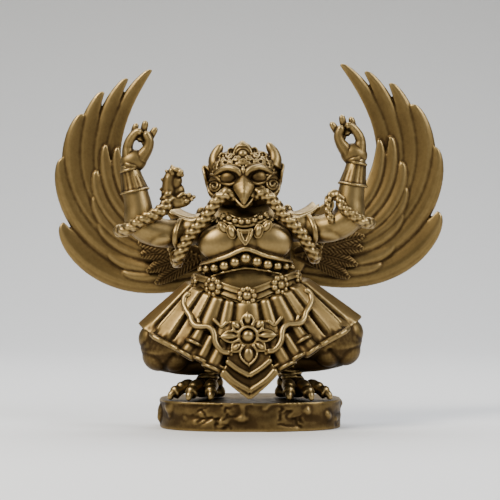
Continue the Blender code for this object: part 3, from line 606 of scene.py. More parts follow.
def makeFeet():
    clay = bmesh.new()
    for side in bothSides:
        shank = smoothLine(mirrored(feet["shank"], side), 8)
        tube(clay, shank, [3.5, 3.0, 3.1], 24)
        for k in range(1, len(shank) - 1, 2):
            around = [shank[k] + Vector((3.15 * math.cos(a), 3.15 * math.sin(a),
                                         0.25 * math.sin(2 * a + k)))
                      for a in circle(24, True)]
            tube(clay, around, [0.55], 8)
        ball(clay, (side * 15.6, -2.4, 3.0), (3.6, 3.8, 3.0))
        for toe in feet["toes"]:
            start, knuckle, end = (Vector(p) for p in mirrored(toe, side))
            line = smoothLine([start, knuckle, end], 8)
            tube(clay, line, [2.0, 1.7, 2.3, 1.75, 2.1], 20)
            for k in (2, 7, 11, 15):
                ball(clay, line[k] + Vector((0, 0, 0.8)), (1.75, 1.75, 1.5), sides=18, rings=10)
            ahead = Vector((end.x - knuckle.x, end.y - knuckle.y, 0)).normalized()
            claw = [end + ahead * out + Vector((0, 0, rise))
                    for out, rise in ((0, 0.2), (1.3, -0.5), (1.7, -1.8))]
            rod(clay, claw, [1.4, 1.2, 0.85], 14, 4)
        for z, x, size in feet["stump"]:
            ball(clay, (side * x, 2.6, z), (size, size * 1.2, 2.4))
    for vert in clay.verts:
        vert.co.z = max(vert.co.z, feet["floor"])
    return castPiece("feetCast", clay, feet, lean=False)


# Serpent

serpent = {
    "grain": 0.24, "polish": 2, "seed": 7,
    "upperJaw": ((-24.4, -7.4, 64.6), (-24.1, -7.2, 68.4), (-23.7, -7.2, 71.4), (-22.6, -7.4, 73.4),
                 (-21.0, -7.6, 74.0), (-20.2, -7.8, 73.4), (-19.8, -7.9, 72.2)),
    "lowerJaw": ((-24.8, -7.6, 64.2), (-21.8, -8.0, 63.9), (-19.0, -8.0, 64.1), (-17.2, -8.0, 65.2),
                 (-15.6, -8.0, 65.6)),
    "tongue": ((-23.4, -8.0, 64.6), (-21.2, -8.6, 65.4), (-19.6, -8.8, 66.6), (-18.6, -8.8, 66.2)),
    "skull": (((-23.4, -6.2, 67.8), (2.5, 2.6, 4.2), -4), ((-21.8, -6.6, 67.2), (2.8, 2.2, 3.2), 12),
              ((-22.2, -7.2, 70.4), (2.4, 2.0, 3.2), 20)),
    # root and tip, across and up
    "teeth": ((-22.2, 73.0, -21.9, 70.8), (-24.0, 71.6, -22.6, 69.8), (-19.4, 63.6, -19.2, 65.4),
              (-25.0, 69.4, -23.2, 68.4)),
    "spikes": ((-22.8, 74.6, -23.0, 76.0), (-23.9, 73.2, -25.0, 74.4), (-25.1, 71.0, -26.5, 71.6),
               (-25.7, 68.2, -27.0, 68.3), (-25.9, 65.6, -27.1, 65.0)),
    "chest": ((3.2, -12.6, 65.6), (5.6, -13.6, 66.0), (8.2, -13.4, 64.4), (10.4, -12.8, 61.7),
              (12.5, -12.4, 58.8), (14.9, -12.0, 56.2), (17.9, -10.8, 53.0), (19.9, -9.4, 49.4),
              (21.4, -8.2, 46.6), (22.2, -5.0, 44.9), (22.6, -0.8, 45.6), (23.6, 3.0, 49.2),
              (27.0, 4.0, 53.2), (32.4, 3.0, 55.2), (37.4, 1.2, 55.8), (40.6, -3.8, 55.4)),
    # from each elbow on: the head's end to the viewer's left, the tail's to the right
    "ends": ((-1, (1.4, 1.45, 1.45, 1.45, 1.5, 1.7),
              ((38.2, -9.0, 55.6), (32.4, -10.9, 58.6), (27.4, -10.2, 60.8), (24.6, -8.8, 63.6),
               (24.4, -7.6, 67.0))),
             (1, (1.4, 1.45, 1.45, 1.35, 1.15, 0.6),
              ((38.4, -9.4, 55.8), (34.6, -10.8, 58.0), (31.6, -10.4, 60.6), (30.6, -9.4, 63.4),
               (28.8, -8.6, 65.0), (27.1, -8.6, 63.0), (26.9, -9.2, 59.8), (27.8, -9.8, 56.4)))),
    "strands": 3, "twist": 2.5, "depth": 0.48}


def makeSerpent():
    clay = bmesh.new()
    for side, girth, end in serpent["ends"]:
        line = smoothLine(mirrored(serpent["chest"] + end, side), 16)
        path = pathMesh(line)
        path.attributes.new("girth", "FLOAT", "POINT").data.foreach_set("value", spread(girth, len(line)))
        sizes = {"Strands": serpent["strands"], "Twist": serpent["twist"] * side, "Depth": serpent["depth"]}
        addMesh(clay, runTree(rope, path, sizes))
    ball(clay, line[-1], (0.8, 0.8, 0.9))
    # its head, jaws wide open towards the bird's face
    rod(clay, serpent["upperJaw"], [2.4, 2.4, 2.2, 1.8, 1.3, 0.9, 0.45], 18)
    rod(clay, serpent["lowerJaw"], [2.5, 2.1, 1.6, 1.0, 0.45], 18)
    rod(clay, serpent["tongue"], [1.0, 0.8, 0.6, 0.35], 10)
    lumps(clay, 1, serpent["skull"])
    chance = random.Random(serpent["seed"])
    for line in (smoothLine(serpent["upperJaw"], 5), smoothLine(serpent["lowerJaw"], 4)):
        for point in line[1:-3]:
            size = chance.uniform(0.6, 1.1)
            away = Vector((chance.uniform(-1, 0.4), chance.uniform(-1.2, -0.5),
                           chance.uniform(-0.6, 0.9))).normalized()
            ball(clay, point + away * 1.35, (size, size, size), sides=12, rings=8)
    for kind, y, tipY, radii in (("teeth", -8.4, -8.6, (0.5, 0.2)), ("spikes", -7.4, -7.2, (1.1, 0.4))):
        for x, z, tipX, tipZ in serpent[kind]:
            rod(clay, [(x, y, z), (tipX, tipY, tipZ)], radii, 8, 3)
    return castPiece("serpentCast", clay, serpent)


# Skirt and apron

skirt = {
    "grain": 0.3, "polish": 8, "turns": 720, "drops": 60, "boardTurn": 15.0, "tier": 0.9, "sway": 0.8,
    # half width, and how far it stands out in front and behind
    "waist": (16.6, 12.4, 9.6), "hem": (35.4, 18.0, 14.5),
    # from, to, height, and whether it is a round roll
    "folds": ((-11.4, 11.4, 2.3, True), (11.4, 22.6, 2.1, True), (22.6, 36.0, 2.1, True),
              (36.0, 46.0, 1.3, False), (46.0, 60.0, 2.2, False), (60.0, 64.5, 1.0, True),
              (64.5, 90.0, 1.7, False)),
    # the rolled hem on each side of the apron and behind: from, to, radius
    "rolls": ((8, 62, 0.9), (-62, -8, 0.9), (112, 248, 0.6)),
    # where each pipe end of the hem starts and opens, and how wide
    "pipes": ((14.2, 24.4, 17.3, 18.9, 2.7), (16.8, 20.4, 20.2, 15.4, 3.0), (11.3, 20.8, 15.2, 13.6, 2.7),
              (8.6, 17.4, 11.8, 11.0, 3.3)), "pipeFlare": (0.6, 0.68, 0.78, 0.96)}


def skirtPoint(turn, drop, swell=0.0):
    # turn is 0 in front and 180 behind; drop is 0 at the belt and 1 at the hem
    angle = math.radians(turn)
    side, front = math.sin(angle), math.cos(angle)
    forward = front > 0
    (waistHalf, *waistDeep), (hemHalf, *hemDeep) = skirt["waist"], skirt["hem"]
    waist = Vector((waistHalf * side, -2.2 - waistDeep[not forward] * front,
                    35.0 + 5.4 * (side * side if forward else 1)))
    hem = Vector((hemHalf * side, -3.0 - hemDeep[not forward] * front,
                  25.2 - (18.0 * (1 - abs(side)) ** 0.75 if forward else 11.0 * (1 - abs(side)))))
    sway = Vector((skirt["sway"] * drop * side * side, 0, 0))
    return waist.lerp(hem, drop) + Vector((side, -front, 0.35)).normalized() * swell + sway


def pleat(turn, drop):
    # round rolls in front, then flat boards, and evenly laid boards behind
    away = abs(turn)
    for low, high, height, roll in skirt["folds"]:
        if low <= away < high:
            place = (away - low) / (high - low)
            if roll:
                return height * (math.sqrt(max(0.0, 1 - (2 * place - 1) ** 2)) - 0.6) * (0.9 + 0.6 * drop)
            board = smoothStep(0, 0.13, place) * (1 - smoothStep(0.87, 1.0, place))
            return (board * height - 0.8) * (0.7 + 0.6 * drop)
    place = (away - skirt["folds"][-1][1]) / skirt["boardTurn"] % 1
    board = smoothStep(0, 0.12, place) * (1 - smoothStep(0.75, 0.85, place))
    return (board * 1.8 - 0.9) * (0.5 + 0.6 * drop)


def softPleat(turn, drop):
    return sum(pleat(turn + step, drop) for step in (-3, -1.5, 0, 1.5, 3)) / 5


def upperTier(x, z):
    # the upper cloth lies over the lower one as far as the cord
    away = abs(x)
    hem = apron["rim"][2:]
    edge = hem[-1][1]
    for (x0, z0), (x1, z1) in zip(hem, hem[1:]):
        if x1 <= away <= x0:
            edge = z1 + (z0 - z1) * (away - x1) / (x0 - x1)
    return skirt["tier"] * smoothStep(-0.3, 0.4, z - edge) * (1 - smoothStep(19.8, 20.4, away))


def makeSkirt():
    clay = bmesh.new()
    rings = []
    for d in range(skirt["drops"] + 1):
        drop = d / skirt["drops"]
        ring = []
        for k in range(skirt["turns"]):
            turn = 360 * k / skirt["turns"]
            turn = turn - 360 if turn > 180 else turn
            rolled = smoothStep(0.8, 1.0, drop) * (1 - smoothStep(34, 42, abs(turn)))
            rolled *= smoothStep(8, 14, abs(turn))
            eased = smoothStep(0.8, 0.97, drop)
            tucked = 2.0 * (1 - smoothStep(0.07, 0.17, drop))
            out = pleat(turn, drop) * (1 - eased) + softPleat(turn, drop) * eased - tucked
            place = skirtPoint(turn, drop, out + rolled * (0.5 + 0.7 * out))
            if abs(turn) < 60:
                place += Vector((0, -upperTier(place.x, place.z), 0))
            ring.append(place)
        rings.append(ring[::-1])
    closeRings(clay, rings, (0, -2, 37), (0, -2, 17))
    for low, high, radius in skirt["rolls"]:
        steps = int((high - low) * 1.2)
        spots = [low + (high - low) * k / steps for k in range(steps + 1)]
        tube(clay, [skirtPoint(turn, 0.985, softPleat(turn, 0.985) + 0.3) for turn in spots], [radius], 12)
    # the rolled folds beside the apron open like pipe ends
    for side in bothSides:
        for topX, topZ, lowX, lowZ, size in skirt["pipes"]:
            top = onSkirt(side * topX, topZ, 0.4)
            low = onSkirt(side * lowX, lowZ, 1.3)
            low.y = top.y + (low.y - top.y) * 0.55
            radii = [size * share for share in skirt["pipeFlare"]]
            rod(clay, [top, top.lerp(low, 0.5), top.lerp(low, 0.85), low], radii, 24, 4, dome=0.15)
            hoop(clay, low, (low - top).normalized(), size * 0.92, 0.62)
    return castPiece("skirtCast", clay, skirt)


def onSkirt(x, z, lift):
    low, high = 0.0, 1.6
    best = None
    for _ in range(24):
        drop = (low + high) / 2
        reach = skirt["waist"][0] + 18.8 * drop
        best = skirtPoint(math.degrees(math.asin(max(-1.0, min(1.0, x / reach)))), drop)
        if best.z > z:
            low = drop
        else:
            high = drop
    return best + Vector((0, -lift, 0))


apron = {
    "grain": 0.25, "polish": 2,
    "rim": ((18.6, 34.6), (20.0, 33.4), (20.4, 31.4), (19.6, 29.4), (18.4, 27.6), (17.8, 25.8),
            (16.6, 24.5), (14.6, 24.2), (12.8, 24.2), (11.4, 23.3), (10.7, 21.6), (10.5, 19.6),
            (9.5, 17.6), (7.9, 16.2), (6.2, 16.0)),
    # each petal's angle, reach and half width
    "petals": ((90, 7.6, 1.9), (0, 9.1, 1.8), (180, 9.1, 1.8), (270, 9.6, 2.7), (43, 6.8, 1.5),
               (137, 6.8, 1.5), (222, 7.3, 1.6), (318, 7.3, 1.6)),
    "flower": (0.0, 20.9), "holes": ((7.3, 17.6), (8.0, 24.6)),
    # half width and height where each raised band starts, its middle, its tip, and its thickness
    "bands": ((8.6, 9.2, 4.8, 5.6, 1.9, 0.75), (8.2, 10.0, 5.1, 6.9, 3.7, 1.2),
              (6.8, 13.2, 3.8, 10.8, 8.6, 0.95))}


def apronPoint(x, z, lift):
    for holeX, holeZ in apron["holes"]:
        away = math.hypot(abs(x) - holeX, z - holeZ)
        lift -= 2.2 * math.exp(-(away / 1.1) ** 2)
    return onSkirt(x, z, lift)


def makeApron():
    clay = bmesh.new()
    for side in bothSides:
        rim = [onSkirt(side * x, z, 2.4) for x, z in apron["rim"]]
        rod(clay, rim, [1.15, 0.95, 0.95, 1.05, 0.9, 1.05, 0.95, 0.95], 14)
        rod(clay, [p + Vector((-side * 1.0, 0.4, -0.6)) for p in rim], [0.7], 10)
        # short folds that run from the belt under the rim
        for x, z, foot, footZ in ((10.8, 26.4, 8.4, 23.8), (6.6, 25.4, 8.4, 23.8),
                                  (15.2, 24.2, 16.0, 26.8)):
            rod(clay, [onSkirt(side * x, z, 1.8), onSkirt(side * foot, footZ, 2.0)], [0.7, 0.5], 10)
    # cloth behind the flower, narrowing to the pointed tip
    rows = []
    for level in range(33):
        z = 25.5 - 24.0 * level / 32
        if z > 17:
            half = 8.8
        elif z > 9.4:
            half = 6.8 + 1.4 * smoothStep(13.0, 10.0, z)
        else:
            half = 8.2 * max(0.02, (z - 1.5) / 7.9)
        rows.append([apronPoint(half * (2 * k / 32 - 1), z, 1.0) for k in range(33)])
    slab(clay, [row[::-1] for row in rows], 1.8)
    # two raised bands along the point
    for half, high, middle, middleZ, tip, radius in apron["bands"]:
        for side in bothSides:
            rod(clay, [onSkirt(side * half, high, 1.9), onSkirt(side * middle, middleZ, 2.2),
                       onSkirt(0, tip, 2.4)], [radius], 12)
    # the eight-petalled flower
    cx, cz = apron["flower"]
    centre = onSkirt(cx, cz, 2.6)
    ball(clay, centre, (1.9, 1.5, 1.9), sides=28, rings=16)
    facing = Vector((0, 0.05, 1)).cross(Vector((1, 0, 0))).normalized()
    hoop(clay, centre + Vector((0, 0.2, 0)), facing, 2.9, 0.5)
    for angle, reach, half in apron["petals"]:
        a = math.radians(angle)
        middle = (reach + 3.2) / 2
        ball(clay, onSkirt(cx + middle * math.cos(a), cz + middle * math.sin(a), 2.1),
             ((reach - 3.2) / 2 * 0.86, 1.0, half * 0.6), (0, -angle, 0))
        outline = []
        for k in range(25):
            t = k / 24 * 2
            along = t if t <= 1 else 2 - t
            wide = half * math.sin(math.pi * min(1, along * 0.94 + 0.14)) ** 0.8 * (1 if t <= 1 else -1)
            if along > 0.999:
                wide = 0
            px, pz = 3.0 + (reach - 3.0) * along, wide
            outline.append(onSkirt(cx + px * math.cos(a) - pz * math.sin(a),
                                   cz + px * math.sin(a) + pz * math.cos(a), 2.4))
        tube(clay, outline, [0.36], 8)
        lining = [onSkirt(cx + px * math.cos(a), cz + px * math.sin(a), 1.4)
                  for px in (3.0, (3 + reach) / 2, reach - 0.6)]
        rod(clay, lining, [half * 0.7, half * 0.9, half * 0.4], 12, 4, flat=0.5)
    return castPiece("apronCast", clay, apron)


# Necklace, pearls and belt

jewels = {
    "grain": 0.22, "polish": 2,
    "pearls": ((0, -14.2, 45.2, 1.72), (3.5, -13.9, 44.1, 1.62), (6.9, -13.0, 43.1, 1.58),
               (10.0, -11.4, 42.5, 1.45), (12.6, -9.2, 42.3, 1.3), (14.6, -6.2, 42.2, 1.2)),
    "collar": ((5.4, 57.9, 60.0, -12.6, 0.42), (8.8, 55.5, 58.6, -13.0, 0.5)),
    "drops": ((4.3, 53.9, 14, -14.3), (6.9, 55.2, 36, -13.6)),
    "rosettes": ((0, 1.0), (37.5, 1.06), (-37.5, 1.06), (73, 0.8), (-73, 0.8))}


def beltPoint(turn, rise, out=0.0):
    angle = math.radians(turn)
    lift = math.sin(angle) ** 2
    height = 33.4 + 5.0 * lift / (0.35 + 0.65 * lift)
    return Vector(((16.9 + out) * math.sin(angle), -2.4 - (13.2 + out) * math.cos(angle), height + rise))


def makeJewels():
    clay = bmesh.new()
    for x, y, z, size in jewels["pearls"]:
        for side in bothSides if x else (1,):
            ball(clay, (side * x, y, z), (size, size, size))
    # collar: two rims with a row of barrel beads between them
    for half, low, high, lift, size in jewels["collar"]:
        rim = ((-half, lift + 2.2, high), (-half / 2, lift + 0.2, (low + high) / 2 - 0.6),
               (0, lift - 0.4, low))
        rod(clay, bothHalves(rim), [size], 10)
    addBeads(clay, bothHalves(((-6.8, -11.8, 59.2), (-3.4, -13.2, 57.5), (0, -13.7, 56.9))), 8, 1.02)
    for side in bothSides:
        addBeads(clay, mirrored(((10.4, -11.2, 57.6), (8.6, -11.9, 57.4), (7.4, -12.2, 58.2)), side),
                 3, 0.55)
    for side in bothSides:
        for x, z, tilt, y in jewels["drops"]:
            ball(clay, (side * x, y, z), (1.0, 0.8, 1.75), (0, side * tilt, 0))
            tube(clay, ovalRim(Vector((side * x, y + 0.2, z)), side * tilt, 1.35, 2.2, 24), [0.26], 8)
        # half of the pointed pendant, with a smaller one inside it
        for scale, size in ((1.0, 0.4), (0.55, 0.3)):
            rod(clay, [(side * 2.3 * scale, -14.5, 54.6 - 0.6 * (1 - scale)),
                       (side * 2.0 * scale, -14.8, 52.6),
                       (0, -15.0, 49.6 + 1.6 * (1 - scale))], [size], 8)
    rod(clay, [(-2.3, -14.5, 54.6), (0, -14.7, 54.2), (2.3, -14.5, 54.6)], [0.4], 8)
    # belt: a flat band between rims
    turns = range(-180, 181, 5)
    for rise, size in ((-2.1, 0.45), (0.0, 0.3), (2.1, 0.45)):
        tube(clay, [beltPoint(turn, rise) for turn in turns], [size], 10)
    for low, high in ((-1.65, -0.4), (0.4, 1.65)):
        rows = [[beltPoint(turn, low + (high - low) * k / 4, 0.42 - 0.12 * k) for turn in turns]
                for k in range(5)]
        slab(clay, rows, 1.0)
    for turn, size in jewels["rosettes"]:
        middle = beltPoint(turn, 0.0, 0.7)
        sizes = {"Petals": 9, "Ring Radius": 2.3 * size, "Bead Radius": 0.98 * size,
                 "Boss Radius": 1.5 * size}
        flower = runTree(rosette, pathMesh([Vector(), Vector((1, 0, 0))]), sizes)
        flower.transform(Matrix.Translation(middle) @ Matrix.Rotation(math.radians(turn), 4, "Z"))
        addMesh(clay, flower)
        facing = Vector((math.sin(math.radians(turn)), -math.cos(math.radians(turn)), 0))
        hoop(clay, middle - facing * 0.2, facing, 1.55 * size, 0.3)
    return castPiece("jewelCast", clay, jewels)


# Shoulder cape

cape = {
    "grain": 0.28, "polish": 3,
    "rim": ((9.5, -9.4, 58.0), (13.5, -8.2, 58.3), (17.5, -6.9, 57.8), (21.3, -5.6, 59.0),
            (24.2, -3.6, 60.9)),
    "knots": (((14.2, 2.6, 60.4), (1.7, 1.3, 2.1), -12), ((12.4, 2.0, 59.8), (1.5, 1.3, 1.9), 10))}


def makeCape():
    clay = bmesh.new()
    for side in bothSides:
        rim = smoothLine(mirrored(cape["rim"], side), 8)
        back = [Vector((p.x * 0.9, 5.6, p.z + 0.6)) for p in rim]
        rows = []
        for k in range(9):
            t = k / 8
            wave = Vector((0, 0, 1.2 * math.sin(math.pi * t) - 0.6 * math.sin(2 * math.pi * t)))
            rows.append([a.lerp(b, t) + wave for a, b in zip(rim, back)])
        slab(clay, rows if side > 0 else rows[::-1], 0.9)
        tube(clay, rim, [0.7], 12)
        tube(clay, [p + Vector((0, 0.7, 1.1)) for p in rim], [0.35], 8)
        lumps(clay, side, cape["knots"])
    return castPiece("capeCast", clay, cape)


# Head

head = {
    "grain": 0.2, "polish": 2,
    "skull": (-2.5, 72.6, (11.5, 10.6, 8.5)), "jaw": (-3.4, 67.6, (11.6, 9.6, 6.4)),
    # ridges of the face: course, thickness and how far they stand off it
    "brow": ((((0.8, 71.7), (1.6, 73.1), (3.2, 73.9), (5.2, 74.2), (7.4, 73.5), (9.2, 72.3)),
              (0.7, 0.95, 1.05, 1.0, 0.85, 0.5), 0.65),
             (((0.9, 73.6), (2.6, 74.9), (4.6, 75.2), (7.0, 74.7), (9.0, 73.2)),
              (0.4, 0.5, 0.5, 0.45, 0.3), 0.2),
             (((2.0, 70.1), (3.0, 69.3), (4.6, 68.9), (6.4, 69.5), (7.8, 70.8), (9.2, 72.1), (10.6, 72.6)),
              (0.5, 0.6, 0.6, 0.6, 0.55, 0.45, 0.4), 0.5)),
    "cheek": ((((11.3, 71.8), (11.5, 69.0), (11.0, 66.6), (9.8, 64.6)), (0.4, 0.55, 0.6, 0.5), 0.5),
              (((3.6, 69.0), (5.4, 68.2), (6.6, 67.4), (6.7, 66.2)), (0.45, 0.5, 0.45, 0.3), 0.25),
              (((6.2, 70.3), (7.0, 71.6), (8.8, 71.7), (10.4, 71.2), (11.5, 69.8)),
               (0.3, 0.4, 0.4, 0.4, 0.3), 0.3),
              (((6.7, 66.4), (8.4, 65.7), (10.0, 65.9), (11.2, 67.2)), (0.4, 0.45, 0.45, 0.35), 0.5),
              (((7.4, 64.6), (8.8, 64.2), (10.2, 65.0)), (0.4, 0.45, 0.35), 0.5)),
    "leaves": ((3.5, -7.4, 79.4, (1.1, 0.8, 1.5), 24), (6.2, -7.4, 78.0, (1.1, 0.8, 1.4), 38)),
    "curls": ((2.1, 77.4, 0.95), (4.6, 78.4, 1.15), (4.3, 76.0, 0.95), (6.9, 77.1, 1.0), (6.7, 75.2, 0.8),
              (8.8, 75.6, 0.85), (1.7, 75.3, 0.7), (8.9, 73.9, 0.6)),
    "seeds": ((3.2, 74.9), (5.3, 75.3), (5.6, 76.8), (3.1, 76.8), (7.9, 76.3), (9.4, 74.8), (9.7, 73.4),
              (8.4, 74.4), (6.2, 78.4), (2.9, 78.6), (8.6, 77.6), (7.6, 78.2), (1.0, 77.6), (1.0, 74.8)),
    "hornShift": 1.3,
    "lip": ((-3.6, -12.4, 65.8), (-2.6, -13.9, 64.2), (-1.3, -15.0, 62.6), (0, -15.5, 61.8)),
    "horn": ((9.6, -5.2, 74.8), (10.3, -4.8, 76.8), (10.0, -4.4, 79.0), (8.9, -4.2, 81.0),
             (8.4, -4.0, 82.0)),
    "beak": ((-10.0, 71.4, 0.9, 2.4), (-12.2, 70.6, 1.6, 2.4), (-13.6, 69.4, 2.7, 2.3),
             (-14.6, 68.2, 3.5, 2.2), (-15.6, 66.8, 2.9, 2.0), (-16.5, 65.3, 2.0, 1.7),
             (-17.1, 63.8, 1.15, 1.2), (-17.2, 62.5, 0.35, 0.5)),
    "ear": ((11.0, 70.2), (12.0, 70.6), (12.5, 72.6), (12.9, 74.8), (12.4, 75.3), (11.4, 74.6),
            (10.4, 73.2), (10.2, 71.6), (11.0, 70.2))}


def facePoint(x, z, lift=0.0):
    front = -2.5
    for centreY, centreZ, radii in (head["skull"], head["jaw"]):
        inside = 1 - (x / radii[0]) ** 2 - ((z - centreZ) / radii[2]) ** 2
        if inside > 0:
            front = min(front, centreY - radii[1] * math.sqrt(inside))
    return Vector((x, front - lift, z))


def faceRods(clay, rows, side):
    for points, radii, lift in rows:
        line = smoothLine([(side * x, 0, z) for x, z in points], 6)
        tube(clay, [facePoint(p.x, p.z, lift) for p in line], radii, 10)


def curl(clay, x, z, radius, side, turns, thick, lift, start):
    steps = int(24 * turns)
    line = []
    for k in range(steps + 1):
        a = start + 2 * math.pi * turns * k / steps
        r = radius * (1 - 0.78 * k / steps)
        line.append(facePoint(side * (x + r * math.cos(a)), z + r * math.sin(a), lift))
    tube(clay, line, [thick, thick, thick * 1.3], 8)


def rounded(value):
    return math.copysign(abs(value) ** 1.3, value)


def makeHead():
    clay = bmesh.new()
    for centreY, centreZ, radii in (head["skull"], head["jaw"]):
        ball(clay, (0, centreY, centreZ), radii, sides=56, rings=32)
    ball(clay, (0, -1.0, 61.5), (6.8, 6.8, 5.4), sides=32, rings=18)
    for side in bothSides:
        # the brow ridge overhangs the eye and springs from the root of the beak
        faceRods(clay, head["brow"], side)
        ball(clay, facePoint(side * 4.8, 71.2, -0.5), (2.6, 1.7, 2.1), (0, side * -3, side * 16), 32, 18)
        # cheeks: the spiral and the ridges round it
        curl(clay, 9.3, 68.9, 2.25, side, 1.9, 0.42, 0.35, 0.9)
        faceRods(clay, head["cheek"], side)
        # horns, and ears like small cupped leaves
        shift = head["hornShift"] if side < 0 else 0.0
        rod(clay, [(side * x + shift, y, z) for x, y, z in head["horn"]], [2.7, 2.3, 1.85, 1.4, 1.0], 22)
        rod(clay, [(side * x, -5.4 + 0.5 * abs(z - 72.6), z) for x, z in head["ear"]], [0.55], 10)
        ball(clay, (side * 11.4, -3.6, 72.6), (1.5, 1.2, 2.5), (0, side * 14, 0))
        # diadem leaves standing over the band
        for x, y, z, size, tilt in head["leaves"]:
            ball(clay, (side * x, y, z), size, (0, side * tilt, 0))
            tube(clay, ovalRim(Vector((side * x, y - 0.6, z)), side * tilt, size[0], size[2], 20), [0.3], 8)
        for x, z, radius in head["curls"]:
            curl(clay, x, z, radius, side, 1.5, 0.3, 0.3, 2.2 if z > 76 else 0.4)
        for x, z in head["seeds"]:
            ball(clay, facePoint(side * x, z, 0.2), (0.45, 0.45, 0.45), sides=12, rings=8)
        # nostrils
        rod(clay, mirrored(((1.2, -14.0, 70.6), (2.2, -14.1, 69.6), (2.9, -14.2, 68.4)), side),
            [0.25, 0.42, 0.3], 8)
    # forehead drop and the oval over it
    rod(clay, [facePoint(0, 74.6, 0.4), facePoint(0, 73.4, 0.8), facePoint(0, 71.8, 0.8)],
        [0.5, 0.8, 0.25], 12)
    for wide, tall in ((1.15, 0.75), (0.6, 0.35)):
        oval = [facePoint(wide * math.cos(a), 76.2 + tall * math.sin(a), 0.4) for a in circle(24, True)]
        tube(clay, oval, [0.3], 8)
    # hooked beak over a pointed lower jaw
    rings = []
    slope = Vector((0, -0.75, 0.66))
    for y, z, half, deep in head["beak"]:
        rings.append([Vector((half * rounded(math.cos(a)), y, z)) + slope * deep * rounded(math.sin(a))
                      for a in circle(32)])
    closeRings(clay, rings)
    rod(clay, bothHalves(head["lip"]), [0.42, 0.5, 0.55, 0.5, 0.42], 10)
    ball(clay, (0, -10.6, 62.8), (2.8, 3.2, 1.4))
    # crest, jewel and band
    ball(clay, (0, -8.0, 80.0), (3.1, 1.8, 2.7), sides=28, rings=16)
    rod(clay, [(0, -8.0, 81.0), (0, -7.7, 82.2), (0, -7.4, 83.0)], [2.0, 1.3, 0.6], 14)
    ball(clay, (0, -9.8, 78.6), (1.6, 1.3, 1.45), sides=28, rings=16)
    tube(clay, [Vector((2.15 * math.cos(a), -9.5, 78.6 + 1.95 * math.sin(a))) for a in circle(28, True)],
         [0.36], 8)
    rod(clay, bothHalves(((-2.9, -9.4, 78.8), (-2.0, -9.3, 80.7), (0, -9.0, 82.0))), [0.4], 8)
    # locks of hair combed down the back
    for k in range(13):
        a = math.radians(100 + 160 * k / 12)
        line = []
        for t in (0.12, 0.3, 0.5, 0.7, 0.88, 1.0):
            tilt = math.pi * (0.08 + 0.62 * t)
            across = math.sin(tilt)
            line.append((11.6 * across * math.sin(a), -2.5 - 10.7 * across * math.cos(a),
                         71.5 + 9.4 * math.cos(tilt)))
        rod(clay, line, [0.5, 1.0, 1.3, 1.4, 1.3, 0.7], 12, 4)
    return castPiece("headCast", clay, head)


# Wings

wings = {
    "grain": 0.3, "polish": 6, "widths": (7.8, 8.2, 8.6, 9.0, 9.4, 9.4), "thick": 1.3,
    "tall": 0.993, "foot": 45.0,
    # tip, and the two pulls on the quill's curve; x outwards, z up
    "primaries": (((31.2, 110.0), (34.0, 48.0), (65.1, 70.6)), ((39.4, 107.2), (38.0, 46.0), (64.9, 68.6)),
                  ((47.6, 102.9), (40.0, 44.0), (66.8, 66.4)), ((54.8, 95.4), (42.0, 40.0), (67.9, 64.0)),
                  ((62.2, 80.9), (36.0, 37.2), (60.6, 50.2)), ((62.9, 58.8), (37.0, 32.3), (53.9, 41.0))),
    "secondaries": (((43.8, 84.1), (32.0, 54.0), (45.0, 64.0)), ((47.6, 85.1), (34.0, 51.0), (50.0, 62.0)),
                    ((51.2, 76.3), (34.0, 48.0), (51.5, 57.0)), ((52.1, 67.8), (34.0, 46.0), (49.5, 52.5)),
                    ((50.8, 59.3), (32.0, 45.0), (46.5, 49.0)), ((48.4, 49.7), (30.0, 42.0), (42.0, 42.5)),
                    ((43.2, 42.2), (28.0, 40.5), (38.0, 39.5))),
    "scapulars": (((28.0, 64.0), (10.0, 54.0), (22.0, 55.0)), ((31.0, 56.0), (12.0, 51.0), (24.0, 50.0)),
                  ((31.0, 48.0), (12.0, 48.0), (24.0, 45.0)), ((26.0, 41.0), (12.0, 44.0), (20.0, 41.0))),
    "coverts": (((38.0, 51.4), (24.0, 49.0), (32.0, 51.0)), ((37.6, 47.0), (24.0, 49.0), (32.0, 48.8)),
                ((32.6, 37.4), (20.0, 46.0), (27.0, 41.8)), ((35.4, 41.6), (20.0, 48.0), (29.0, 45.0)))}


def wingDepth(x, z):
    away = math.hypot(x - pose["seatX"], z - pose["seatZ"]) / 60
    return 13.6 + 7.5 * math.sin(min(away, 1.15) * 2.3)


def feather(clay, root, shape, width, layer, stations, ridge=0.42, hook=0.75, leaf=False):
    thick = wings["thick"]
    tip, pullA, pullB = (Vector((x, 0, z)) for x, z in shape)
    start = Vector((root[0], 0, root[1]))
    ending = (tip - pullB).normalized()
    tip = tip + Vector((ending.z, 0, -ending.x)) * width / 2 * hook
    rings, quill = [], []
    for i in range(stations + 1):
        t = i / stations
        at = min(t, 0.995)
        place = bezier(start, pullA, pullB, tip, at)
        along = (bezier(start, pullA, pullB, tip, at + 0.005) - place).normalized()
        across = Vector((along.z, 0, -along.x))
        full = width / 2 * (0.62 + 0.38 * math.sin(math.pi * min(1, t * 1.35) * 0.5))
        half = full * math.sqrt(max(1 - t ** 5, 0.012))
        if leaf:
            half = width / 2 * max(0.08, math.sin(math.pi * (0.1 + 0.9 * t))) ** 0.6
        place -= across * (full - half) * hook
        place.y = wingDepth(place.x, place.z) - layer
        rise = ridge * half
        ring = []
        for share, lift in ((1.0, 0.0), (0.84, 0.5), (0.5, 0.9), (0.22, 1.0), (-0.1, 0.86), (-0.55, 0.5),
                            (-1.0, 0.1)):
            ring.append(place + across * half * share + Vector((0, -rise * lift, 0)))
        quill.append(ring[3].copy())
        ring += [place - across * half * 0.9 + Vector((0, thick, 0)),
                 place + across * half * 0.9 + Vector((0, thick, 0))]
        rings.append(ring)
    closeRings(clay, rings)
    return quill


